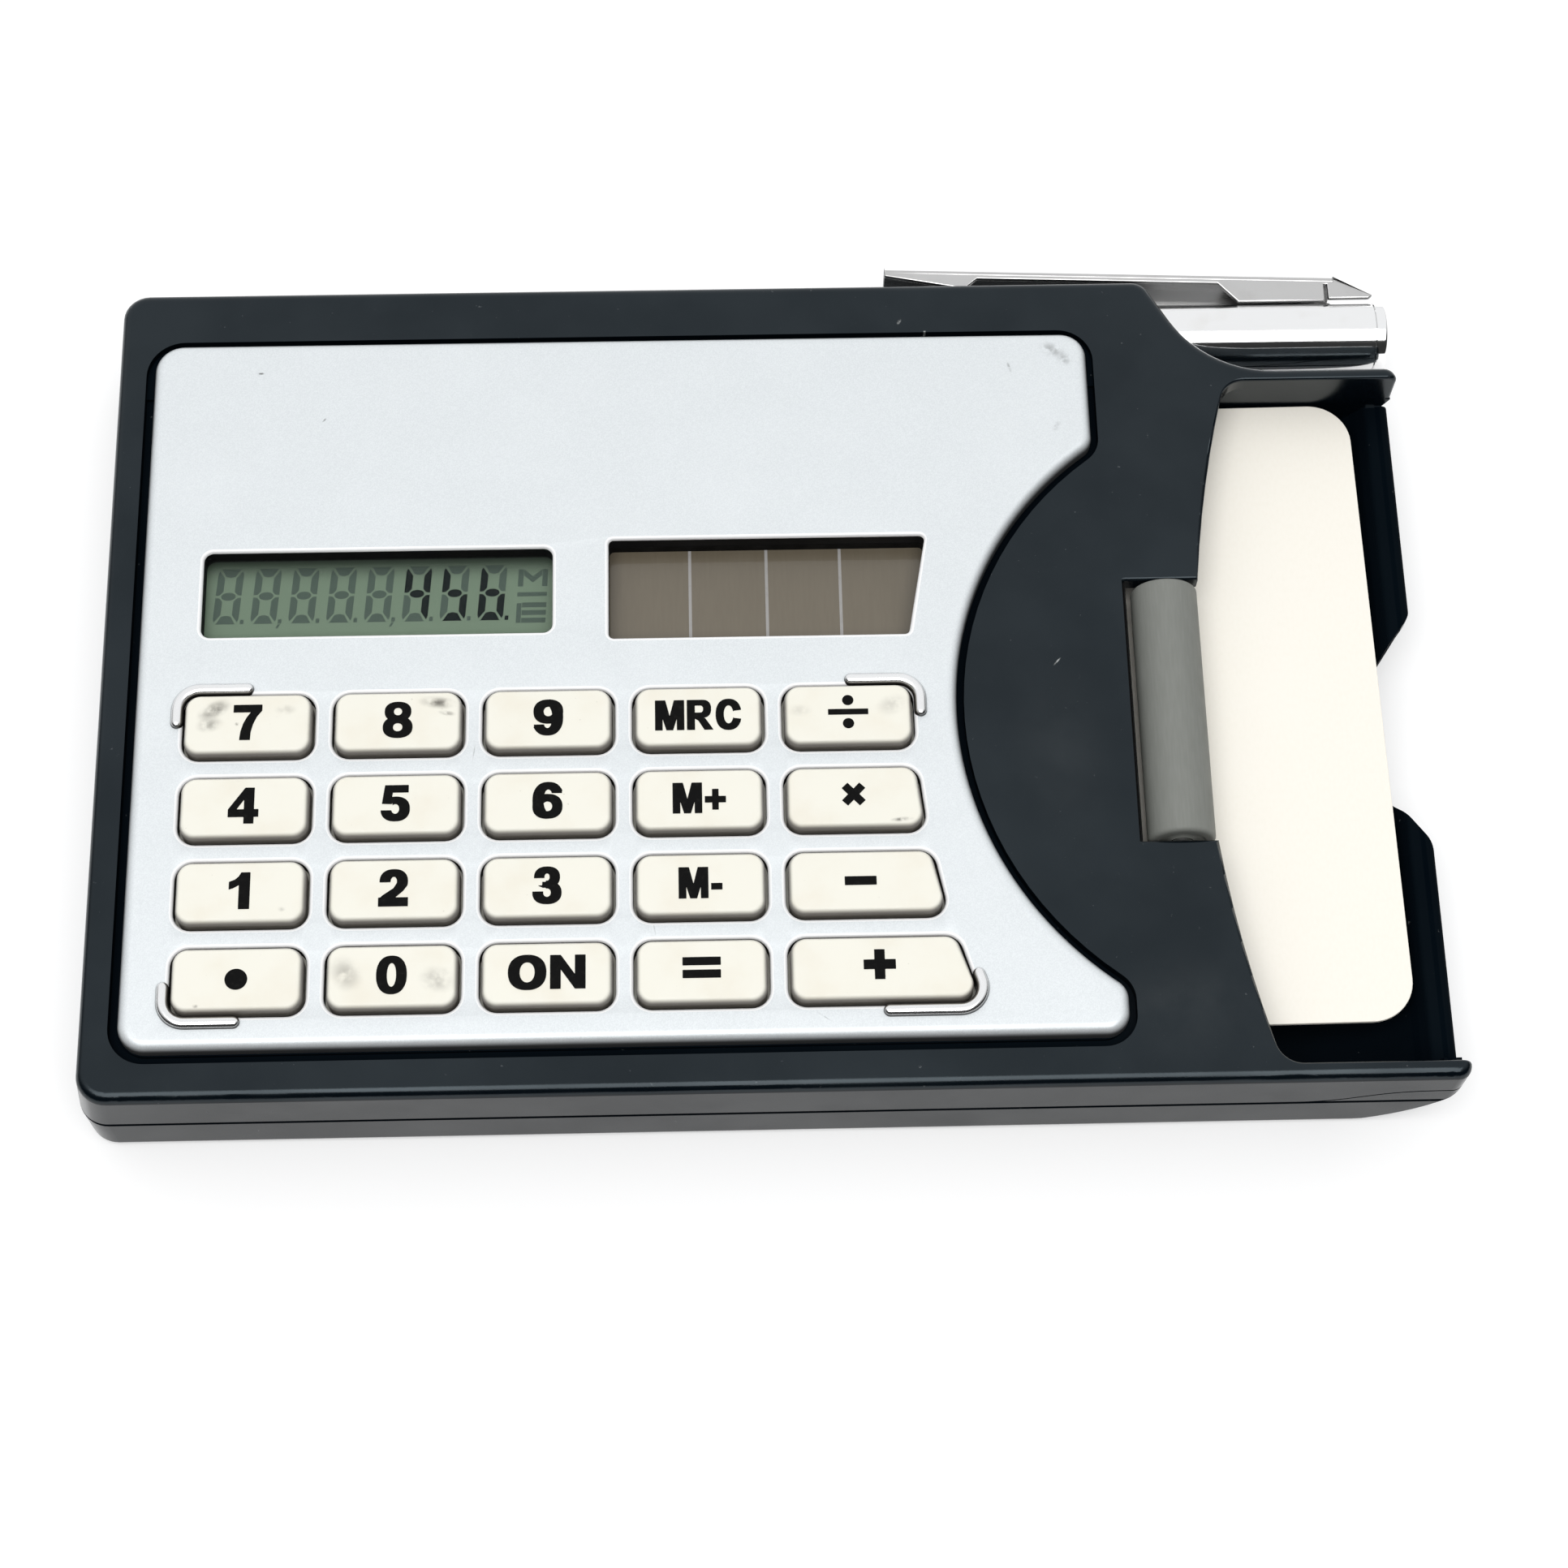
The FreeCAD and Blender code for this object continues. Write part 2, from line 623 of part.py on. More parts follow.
def shadow_groove():
    """A thin dark line round the outside where the two shells meet."""
    band = beside_parting(0, KEY_TOP).cut(beside_parting(SHADOW_GAP, KEY_TOP + BEYOND))
    inner = prism(case_outline(SHADOW_DEPTH, SIDE_FLARE), -BEYOND, KEY_TOP)
    ring = prism(case_outline(0, SIDE_FLARE), 0, SHELL_TOP).cut(inner)
    return band.common(ring)


def plate_moat():
    """A deeper dark line round the plate, left out over the pen tunnel."""
    low = PLATE_BOTTOM - PLATE_MOAT
    ring = plate_prism(PLATE_GROOVE, low, SHELL_TOP).cut(plate_prism(0, low - BEYOND, SHELL_TOP + BEYOND))
    return ring.common(box(LEFT, RIGHT, FRONT, BAY_REAR, low, SHELL_TOP))


def top_shell():
    """The upper shell, whose left side leans out towards the joint line."""
    joint = rounded_wire(case_outline(0, SIDE_FLARE), PARTING)
    rim = rounded_wire(case_outline(0, -SIDE_TUCK), SHELL_TOP)
    body = Part.makeLoft([joint, rim], True, True)
    body = body.makeFillet(TOP_EDGE, edges_at_height(body, SHELL_TOP))
    body = body.common(beside_parting(0, KEY_TOP))
    body = body.cut(box(LEFT + WALL, RIGHT + BEYOND, BAY_FRONT, BAY_REAR, 0, ROOF_BOTTOM))
    body = body.cut(joined([card_window(), roller_slot()]))
    body = body.makeFillet(WINDOW_EDGE, window_rim(body))
    body = body.cut(plate_prism(PLATE_GROOVE, PLATE_BOTTOM, SHELL_TOP + BEYOND))
    body = body.cut(plate_moat())
    body = body.cut(below_tray_rear(plate_prism(-PLATE_LEDGE, 0, SHELL_TOP), 0))
    bosses = [rod_z(CASE_BOSS_RADIUS, PARTING, ROOF_BOTTOM + ROOF / 2, x, y) for x, y in case_screw_spots()]
    body = joined([body] + roller_ears() + bosses)
    body = body.cut(axle_seats())
    body = body.cut(pen_bore())
    body = body.cut(shadow_groove())
    return body.cut(screw_holes())


def key_right_edge(y):
    """The arched right limit of the last column at one y."""
    return KEYS_RIGHT + KEY_ARCH_RADIUS - math.sqrt(KEY_ARCH_RADIUS ** 2 - (y - BAY_MID) ** 2)


def key_corners(row, column, grow):
    """The plan of one key, counted from the rear left."""
    y1 = KEYS_REAR - row * (KEY_HEIGHT + KEY_GAP_Y)
    y0 = y1 - KEY_HEIGHT
    x0 = KEYS_LEFT + column * (KEY_WIDTH + KEY_GAP_X)
    right_rear = x0 + KEY_WIDTH
    right_front = right_rear
    if column == KEY_COLUMNS - 1:
        right_rear = key_right_edge(y1)
        right_front = key_right_edge(y0)
    radius = KEY_CORNER + grow
    return [
        (x0 - grow, y1 + grow, radius),
        (right_rear + grow, y1 + grow, radius),
        (right_front + grow, y0 - grow, radius),
        (x0 - grow, y0 - grow, radius),
    ]


def key_centre(row, column):
    corners = key_corners(row, column, 0)
    x = sum(corner[0] for corner in corners) / len(corners)
    y = sum(corner[1] for corner in corners) / len(corners)
    return x, y


def key(row, column):
    cap = prism(key_corners(row, column, 0), FLANGE_BOTTOM, KEY_TOP)
    cap = cap.makeFillet(KEY_EDGE, edges_at_height(cap, KEY_TOP))
    flange = prism(key_corners(row, column, KEY_FLANGE_GROW), FLANGE_BOTTOM, FLANGE_TOP)
    x, y = key_centre(row, column)
    plunger = rod_z(PLUNGER_RADIUS, FLANGE_BOTTOM - PLUNGER_LENGTH, FLANGE_TOP, x, y)
    return joined([cap, flange, plunger])


def all_keys():
    return [(row, column) for row in range(KEY_ROWS) for column in range(KEY_COLUMNS)]


def rib(x, y, side, up, slant):
    """One raised corner mark; side and up say which way its two arms run."""
    lean = slant * up
    points = [
        (0, 0, RIB_CORNER),
        (side * RIB_ARM_X, 0, RIB_END),
        (side * RIB_ARM_X, up * RIB_WIDTH, RIB_END),
        (side * RIB_WIDTH + lean * RIB_WIDTH, up * RIB_WIDTH, RIB_CORNER - RIB_WIDTH),
        (side * RIB_WIDTH + lean * RIB_ARM_Y, up * RIB_ARM_Y, RIB_END),
        (lean * RIB_ARM_Y, up * RIB_ARM_Y, RIB_END),
    ]
    corners = [(x + px, y + py, radius) for px, py, radius in points]
    body = prism(corners, PLATE_TOP - PLATE / 2, PLATE_TOP + RIB_HEIGHT)
    return body.makeChamfer(RIB_WIDTH / 4, edges_at_height(body, PLATE_TOP + RIB_HEIGHT))


def corner_ribs():
    away = KEY_CLEARANCE + RIB_GAP + RIB_WIDTH
    left = KEYS_LEFT - away
    rear = KEYS_REAR + away
    front = KEYS_FRONT - away
    front_right = key_right_edge(KEYS_FRONT)
    slant = (key_right_edge(KEYS_FRONT + KEY_HEIGHT) - front_right) / KEY_HEIGHT
    return [
        rib(left, rear, 1, -1, 0),
        rib(key_right_edge(KEYS_REAR) + away + RIB_GAP, rear, -1, -1, 0),
        rib(left, front, 1, 1, 0),
        rib(front_right + 1.5 * away, front, -1, 1, slant),
    ]


def lcd_corners(grow, rear_grow):
    half = LCD_HEIGHT / 2 + grow
    return [
        (LCD_X0 - grow, DISPLAY_Y + half + rear_grow, WINDOW_RADIUS),
        (LCD_X1 + grow, DISPLAY_Y + half + rear_grow, WINDOW_RADIUS),
        (LCD_X1 + grow, DISPLAY_Y - half, WINDOW_RADIUS),
        (LCD_X0 - grow, DISPLAY_Y - half, WINDOW_RADIUS),
    ]


def solar_corners(grow):
    half = SOLAR_HEIGHT / 2 + grow
    return [
        (SOLAR_X0 - grow, DISPLAY_Y + half, WINDOW_RADIUS),
        (SOLAR_X1 + SOLAR_SLANT + grow, DISPLAY_Y + half, WINDOW_RADIUS),
        (SOLAR_X1 + grow, DISPLAY_Y - half, WINDOW_RADIUS),
        (SOLAR_X0 - grow, DISPLAY_Y - half, WINDOW_RADIUS),
    ]


def module_screw_spots():
    """Three spots behind the display, one between the windows and one in the toe."""
    rear_y = TRAY_REAR - PLATE_LEDGE - POST_RADIUS
    return [
        (KEYS_LEFT + POST_RADIUS, rear_y),
        ((LCD_X0 + LCD_X1) / 2 + CHIP_RADIUS * 3, rear_y),
        (FACE_RIGHT - PLATE_LEDGE - POST_RADIUS * 1.5, rear_y),
        ((LCD_X1 + SOLAR_X0) / 2, DISPLAY_Y),
        (key_right_edge(KEYS_FRONT) + POST_RADIUS * 2.6, KEYS_FRONT + POST_RADIUS / 2),
    ]


def faceplate():
    body = plate_prism(0, PLATE_BOTTOM, PLATE_TOP)
    body = body.makeFillet(PLATE_EDGE, edges_at_height(body, PLATE_TOP))
    openings = [prism(key_corners(row, column, KEY_CLEARANCE), 0, KEY_TOP) for row, column in all_keys()]
    openings.append(prism(lcd_corners(0, 0), 0, KEY_TOP))
    openings.append(prism(solar_corners(0), 0, KEY_TOP))
    body = body.cut(Part.makeCompound(openings))
    boss_bottom = TRAY_TOP + POST_HEIGHT
    spots = module_screw_spots()
    bosses = [rod_z(BOSS_RADIUS, boss_bottom, PLATE_BOTTOM + PLATE / 4, x, y) for x, y in spots]
    body = joined([body] + corner_ribs() + bosses)
    return body.cut(Part.makeCompound([rod_z(SCREW_RADIUS, 0, PLATE_BOTTOM, x, y) for x, y in spots]))


def module_tray():
    outer = below_tray_rear(plate_prism(TRAY_OUTSET, TRAY_BOTTOM, ROOF_BOTTOM), 0)
    hollow = plate_prism(-PLATE_LEDGE, TRAY_TOP, KEY_TOP)
    body = outer.cut(below_tray_rear(hollow, PLATE_LEDGE))
    spots = module_screw_spots()
    post_top = TRAY_TOP + POST_HEIGHT
    posts = [rod_z(POST_RADIUS, TRAY_BOTTOM, post_top, x, y) for x, y in spots]
    body = joined([body] + posts)
    holes = []
    for x, y in spots:
        holes.append(rod_z(SCREW_RADIUS + SCREW_GAP, 0, KEY_TOP, x, y))
        holes.append(rod_z(SCREW_HEAD_RADIUS + SCREW_GAP, 0, TRAY_BOTTOM + SCREW_HEAD + SCREW_GAP, x, y))
    return body.cut(Part.makeCompound(holes))


def screw(x, y, z, head_radius, head, top):
    """One screw standing head down, with a cross cut into its head."""
    body = rod_z(head_radius, z, z + head, x, y).fuse(rod_z(SCREW_RADIUS, z, top, x, y))
    long = head_radius * 0.65
    thin = head_radius * 0.15
    body = body.cut(box(x - long, x + long, y - thin, y + thin, z - head, z + head / 2))
    return body.cut(box(x - thin, x + thin, y - long, y + long, z - head, z + head / 2))


def module_screws():
    z = TRAY_BOTTOM + SCREW_GAP
    top = PLATE_BOTTOM - STOP_GAP * 4
    spots = module_screw_spots()
    return Part.makeCompound([screw(x, y, z, SCREW_HEAD_RADIUS, SCREW_HEAD, top) for x, y in spots])


def case_screws():
    z = CASE_HEAD_SINK
    top = CASE_SCREW_HEIGHT - STOP_GAP * 4
    spots = case_screw_spots()
    return Part.makeCompound([screw(x, y, z, CASE_HEAD_RADIUS, CASE_HEAD, top) for x, y in spots])


def cell_spot():
    x = SOLAR_X1 + SOLAR_SLANT + GLASS_MARGIN + BOARD_EDGE_GAP + CELL_DIAMETER / 2
    y = BOARD_REAR - CELL_DIAMETER / 2
    return x, y


def circuit_board():
    inset = PLATE_LEDGE + BOARD_EDGE_GAP
    sheet = below_tray_rear(plate_prism(-inset, BOARD_BOTTOM, BOARD_TOP), inset)
    holes = [rod_z(POST_RADIUS + BOSS_CLEARANCE, 0, KEY_TOP, x, y) for x, y in module_screw_spots()]
    x, y = cell_spot()
    reach = CELL_DIAMETER / 2 + BOARD_EDGE_GAP
    holes.append(box(x - reach, RIGHT, y - reach, REAR, 0, KEY_TOP))
    return sheet.cut(Part.makeCompound(holes))


def contact_pads():
    pads = []
    for row, column in all_keys():
        x, y = key_centre(row, column)
        pads.append(rod_z(PAD_RADIUS, BOARD_TOP, BOARD_TOP + PAD_THICKNESS, x, y))
    return Part.makeCompound(pads)


def keypad_web():
    """The silicone sheet on the board, open where each plunger comes down."""
    x1 = key_right_edge(KEYS_FRONT)
    corners = [
        (KEYS_LEFT - WEB_MARGIN, KEYS_REAR + WEB_MARGIN, KEY_CORNER),
        (KEYS_RIGHT + WEB_MARGIN, KEYS_REAR + WEB_MARGIN, KEY_CORNER),
        (x1 + WEB_MARGIN, KEYS_FRONT - WEB_MARGIN, KEY_CORNER),
        (KEYS_LEFT - WEB_MARGIN, KEYS_FRONT - WEB_MARGIN, KEY_CORNER),
    ]
    body = prism(corners, BOARD_TOP, WEB_TOP)
    holes = []
    for row, column in all_keys():
        x, y = key_centre(row, column)
        holes.append(rod_z(PAD_RADIUS + BOARD_EDGE_GAP / 2, 0, KEY_TOP, x, y))
    return body.cut(Part.makeCompound(holes))


def driver_chip():
    """The epoxy drop over the chip, a low dome on the board."""
    x = (LCD_X0 + LCD_X1) / 2 - CHIP_RADIUS
    y = (BOARD_REAR + CONNECTOR_REAR) / 2
    radius = (CHIP_RADIUS ** 2 + CHIP_HEIGHT ** 2) / (2 * CHIP_HEIGHT)
    ball = Part.makeSphere(radius, vec(x, y, BOARD_TOP + CHIP_HEIGHT - radius))
    return ball.common(rod_z(CHIP_RADIUS, BOARD_TOP, KEY_TOP, x, y))


def lcd_panel():
    """Two glasses, the front one running past the rear one over the connector."""
    front = prism(lcd_corners(GLASS_MARGIN, GLASS_OVERHANG), GLASS_TOP - GLASS, GLASS_TOP)
    rear = prism(lcd_corners(GLASS_MARGIN, 0), BOARD_TOP, GLASS_TOP - GLASS)
    return joined([front, rear])


def lcd_connector():
    y0 = CONNECTOR_REAR - CONNECTOR_WIDTH
    return box(LCD_X0, LCD_X1, y0, CONNECTOR_REAR, BOARD_TOP, GLASS_TOP - GLASS)


def solar_cell():
    return prism(solar_corners(GLASS_MARGIN), GLASS_TOP - SOLAR_CELL_THICKNESS, GLASS_TOP)


def solar_pad():
    return prism(solar_corners(-FOAM_INSET), BOARD_TOP, GLASS_TOP - SOLAR_CELL_THICKNESS)


def solar_leads():
    y = DISPLAY_Y - SOLAR_HEIGHT / 2 + FOAM_INSET / 2
    top = GLASS_TOP - SOLAR_CELL_THICKNESS
    spots = (SOLAR_X0 + FOAM_INSET * 2, SOLAR_X1 - FOAM_INSET * 2)
    return Part.makeCompound([rod_z(LEAD_RADIUS, BOARD_TOP, top, x, y) for x in spots])


def button_cell():
    """A coin cell with the smaller terminal facing down."""
    x, y = cell_spot()
    step = CELL_HEIGHT / 6
    can = rod_z(CELL_DIAMETER / 2, BOARD_BOTTOM + step, BOARD_BOTTOM + CELL_HEIGHT, x, y)
    can = can.makeFillet(step / 2, edges_at_height(can, BOARD_BOTTOM + CELL_HEIGHT))
    terminal = rod_z(CELL_DIAMETER / 2 - step * 2, BOARD_BOTTOM, BOARD_BOTTOM + step, x, y)
    return joined([can, terminal])


def cell_contact_bottom():
    """A strip on the tray floor that runs from below the cell to below the board."""
    x, y = cell_spot()
    half = CONTACT_WIDTH / 2
    return box(x - CONTACT_REACH, x + half, y - half, y + half, TRAY_TOP, BOARD_BOTTOM)


def cell_contact_top():
    """A strip over the cell with a leg that stands on the board."""
    x, y = cell_spot()
    half = CONTACT_WIDTH / 2
    low = BOARD_BOTTOM + CELL_HEIGHT
    end = x - CONTACT_REACH
    strip = box(end, x + half, y - half, y + half, low, low + CONTACT)
    leg = box(end, end + CONTACT, y - half, y + half, BOARD_TOP, low + CONTACT)
    return joined([strip, leg])


def roller():
    half = ROLLER_LENGTH / 2
    body = rod_y(ROLLER_DIAMETER / 2, BAY_MID - half, BAY_MID + half, ROLLER_X, ROLLER_Z)
    body = body.makeFillet(ROLLER_EDGE, [edge for edge in body.Edges if edge.BoundBox.YLength < ROLLER_EDGE])
    return body.cut(rod_y(AXLE_RADIUS + RUNNING_CLEARANCE, FRONT, REAR, ROLLER_X, ROLLER_Z))


def roller_axle():
    half = SLOT_HALF + AXLE_SEAT
    return rod_y(AXLE_RADIUS, BAY_MID - half, BAY_MID + half, ROLLER_X, ROLLER_Z)


def lift_plate():
    """The sprung tray for the cards, with a skirt that runs inside the guides."""
    corners = [
        (LIFT_X0, LIFT_Y1, LIFT_CORNER),
        (LIFT_X1, LIFT_Y1, LIFT_CORNER),
        (LIFT_X1, LIFT_Y0, LIFT_CORNER),
        (LIFT_X0, LIFT_Y0, LIFT_CORNER),
    ]
    body = prism(corners, LIFT_BOTTOM - LIFT_SKIRT, LIFT_TOP)
    inset = LIFT_SKIRT_WIDTH
    under = box(LIFT_X0 + inset, LIFT_X1 - inset, LIFT_Y0 + inset, LIFT_Y1 - inset, 0, LIFT_BOTTOM)
    return body.cut(under)


def leaf_spring():
    """A bowed strip that stands on the floor and carries the lift plate."""
    rise = SPRING_ROOM - STOP_GAP / 2
    radius = (LEAF_LENGTH ** 2 / 4 + rise ** 2) / (2 * rise)
    z = FLOOR + rise - radius
    y = (LIFT_Y0 + LIFT_Y1) / 2
    y0 = y - LEAF_WIDTH / 2
    y1 = y + LEAF_WIDTH / 2
    ring = rod_y(radius, y0, y1, LIFT_MID, z).cut(rod_y(radius - LEAF_THICKNESS, y0, y1, LIFT_MID, z))
    return ring.common(box(LEFT, RIGHT, FRONT, REAR, FLOOR, KEY_TOP))


def business_card():
    x = CARD_LENGTH / 2
    y = CARD_WIDTH / 2
    corners = [(-x, y, CARD_CORNER), (x, y, CARD_CORNER), (x, -y, CARD_CORNER), (-x, -y, CARD_CORNER)]
    card = prism(corners, CARD_BOTTOM, CARD_TOP)
    card.rotate(vec(0, 0, 0), vec(0, 0, 1), CARD_SKEW_DEG)
    card.translate(vec(CARD_X, CARD_Y, 0))
    return card


def pen_barrel():
    start = PEN_TIP + PEN_NOSE_LENGTH
    end = PEN_END - PEN_CAP_LENGTH
    tube = rod_x(PEN_RADIUS, start, end, PEN_Y, PEN_Z)
    return tube.cut(rod_x(PEN_RADIUS - PEN_WALL, LEFT, RIGHT + BEYOND, PEN_Y, PEN_Z))


def refill_shape():
    """The ink tube with its narrow writing end."""
    neck_end = PEN_TIP + PEN_NOSE_LENGTH / 2
    ball = Part.makeSphere(REFILL_NECK_RADIUS, vec(PEN_TIP + REFILL_NECK_RADIUS, PEN_Y, PEN_Z))
    neck = rod_x(REFILL_NECK_RADIUS, PEN_TIP + REFILL_NECK_RADIUS, neck_end, PEN_Y, PEN_Z)
    tube = rod_x(REFILL_RADIUS, neck_end, PEN_TIP + REFILL_LENGTH, PEN_Y, PEN_Z)
    return joined([ball, neck, tube])


def pen_nose():
    """The cone at the writing end, with a spigot that fits inside the barrel."""
    start = PEN_TIP + PEN_NOSE_LENGTH / 8
    end = PEN_TIP + PEN_NOSE_LENGTH
    narrow = REFILL_NECK_RADIUS * 1.6
    cone = Part.makeCone(narrow, PEN_RADIUS, end - start, vec(start, PEN_Y, PEN_Z), vec(1, 0, 0))
    spigot = rod_x(PEN_RADIUS - PEN_WALL, end - PEN_WALL, end + PEN_PLUG_LENGTH, PEN_Y, PEN_Z)
    return joined([cone, spigot]).cut(refill_shape())


def pen_cap():
    """The end plug of the pen, with a rounded rim."""
    start = PEN_END - PEN_CAP_LENGTH
    disc = rod_x(PEN_RADIUS, start, PEN_END, PEN_Y, PEN_Z)
    rim = [edge for edge in disc.Edges if edge.BoundBox.XMin > PEN_END - PEN_CAP_LENGTH / 2]
    disc = disc.makeFillet(PEN_CAP_LENGTH / 2, rim)
    plug = rod_x(PEN_RADIUS - PEN_WALL, start - PEN_PLUG_LENGTH, start, PEN_Y, PEN_Z)
    return joined([disc, plug])


def clip_outer(along):
    """How far out the outer line of the clip is, at a distance from the right end."""
    share = (along - CLIP_BEND) / (CLIP_TIP - CLIP_BEND)
    return REAR + CLIP_BEND_OUT + share * (CLIP_TIP_OUT - CLIP_BEND_OUT)


def clip_plan(outline, z0, z1):
    """A flat piece of the clip; its outline is given as (distance from the right end, y)."""
    points = [vec(RIGHT - along, y, z0) for along, y in outline]
    return Part.Face(Part.makePolygon(points + points[:1])).extrude(vec(0, 0, z1 - z0))


def pen_clip():
    """The stamped clip: a spine behind the case and two flanges that grip the barrel."""
    low = PEN_Z - CLIP_HALF_HEIGHT
    high = PEN_Z + CLIP_HALF_HEIGHT
    grip = PEN_Y + CLIP_GRIP
    back = [(along, clip_outer(along)) for along in (CLIP_TIP, CLIP_BEND)]
    flange = back + [
        (CLIP_POINT, REAR + CLIP_POINT_OUT),
        (CLIP_POINT + CLIP_SLIT, REAR + CLIP_TONGUE_OUT),
        (CLIP_WIDE_END - CLIP_SLIT, REAR + CLIP_TONGUE_OUT),
        (CLIP_WIDE_END - CLIP_SLIT, REAR + CLIP_SLIT_OUT),
        (CLIP_WIDE_END, REAR + CLIP_SLIT_OUT),
        (CLIP_WIDE_END, grip),
        (CLIP_WIDE_START, grip),
        (CLIP_STRIP_END, clip_outer(CLIP_STRIP_END) - CLIP_STRIP),
        (CLIP_STRIP_START, clip_outer(CLIP_STRIP_START) - CLIP_STRIP),
        (CLIP_BUMP - CLIP_BUMP_HALF, REAR + CLIP_BUMP_OUT),
        (CLIP_BUMP + CLIP_BUMP_HALF, REAR + CLIP_BUMP_OUT),
        (CLIP_TIP, clip_outer(CLIP_TIP) - CLIP_TIP_FLANGE),
    ]
    spine = back + [(along, y - CLIP_SHEET) for along, y in reversed(back)]
    pieces = [
        clip_plan(spine, low, high),
        clip_plan(flange, high - CLIP_SHEET, high),
        clip_plan(flange, low, low + CLIP_SHEET),
    ]
    return joined(pieces).cut(rod_x(PEN_RADIUS, LEFT, RIGHT + BEYOND, PEN_Y, PEN_Z))


def build():
    parts = {
        "base_shell": base_shell(),
        "top_shell": top_shell(),
        "faceplate": faceplate(),
        "keypad_web": keypad_web(),
        "circuit_board": circuit_board(),
        "contact_pads": contact_pads(),
        "driver_chip": driver_chip(),
        "lcd_panel": lcd_panel(),
        "lcd_connector": lcd_connector(),
        "solar_cell": solar_cell(),
        "solar_pad": solar_pad(),
        "solar_leads": solar_leads(),
        "button_cell": button_cell(),
        "cell_contact_top": cell_contact_top(),
        "cell_contact_bottom": cell_contact_bottom(),
        "module_tray": module_tray(),
        "module_screws": module_screws(),
        "case_screws": case_screws(),
        "roller": roller(),
        "roller_axle": roller_axle(),
        "lift_plate": lift_plate(),
        "leaf_spring": leaf_spring(),
        "business_card": business_card(),
        "pen_barrel": pen_barrel(),
        "pen_nose": pen_nose(),
        "pen_refill": refill_shape(),
        "pen_clip": pen_clip(),
        "pen_cap": pen_cap(),
    }
    for row, column in all_keys():
        parts[KEY_NAMES[row][column]] = key(row, column)
    return parts


os.makedirs("parts", exist_ok=True)
for name, shape in build().items():
    shape.exportStep("parts/" + name + ".step")
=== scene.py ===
"""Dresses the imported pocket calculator: meshes, finishes, light and camera for its studio picture."""

import logging
import math
from dataclasses import dataclass, field
from enum import Enum
from typing import Callable, ClassVar, Sequence

import bmesh
import bpy
import numpy as np
from mathutils import Matrix, Vector


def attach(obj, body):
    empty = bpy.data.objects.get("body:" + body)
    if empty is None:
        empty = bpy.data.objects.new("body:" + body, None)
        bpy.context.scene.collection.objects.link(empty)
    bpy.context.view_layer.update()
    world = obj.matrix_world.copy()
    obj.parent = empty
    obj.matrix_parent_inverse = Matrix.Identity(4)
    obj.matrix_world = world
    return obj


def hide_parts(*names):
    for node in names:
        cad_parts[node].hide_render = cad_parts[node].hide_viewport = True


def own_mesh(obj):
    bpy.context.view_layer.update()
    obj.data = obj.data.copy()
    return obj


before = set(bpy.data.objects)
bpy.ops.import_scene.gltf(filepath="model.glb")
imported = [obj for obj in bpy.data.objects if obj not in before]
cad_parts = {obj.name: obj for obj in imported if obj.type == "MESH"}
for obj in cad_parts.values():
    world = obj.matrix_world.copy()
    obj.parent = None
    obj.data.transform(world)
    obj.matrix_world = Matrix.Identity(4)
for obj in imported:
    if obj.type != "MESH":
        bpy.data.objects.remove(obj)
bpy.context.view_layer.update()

LOG = logging.getLogger("calculator")
MM = 0.001
SHARP_DEG = 35.0
BEAD_SHARP_DEG = 60.0

Point = tuple[float, float]
Corner = tuple[float, float, float]
Colour = tuple[float, float, float]
Sides = tuple[float, float, float, float]
Field = Callable[[np.ndarray, np.ndarray], np.ndarray]
Outline = Callable[[float], list[Point]]
Socket = bpy.types.NodeSocket
Material = bpy.types.Material


class Body(Enum):
    """The CAD bodies that carry the pieces, apart from the keys."""

    CASE = "case"
    ROLLER = "roller"
    CARD = "card"
    LIFT = "lift"
    PEN = "pen"


# Finishes


@dataclass(frozen=True)
class Smudge:
    """A dirty place on a flat surface."""

    centre: Point
    size: Point
    turn: float = 0.0
    strength: float = 0.5


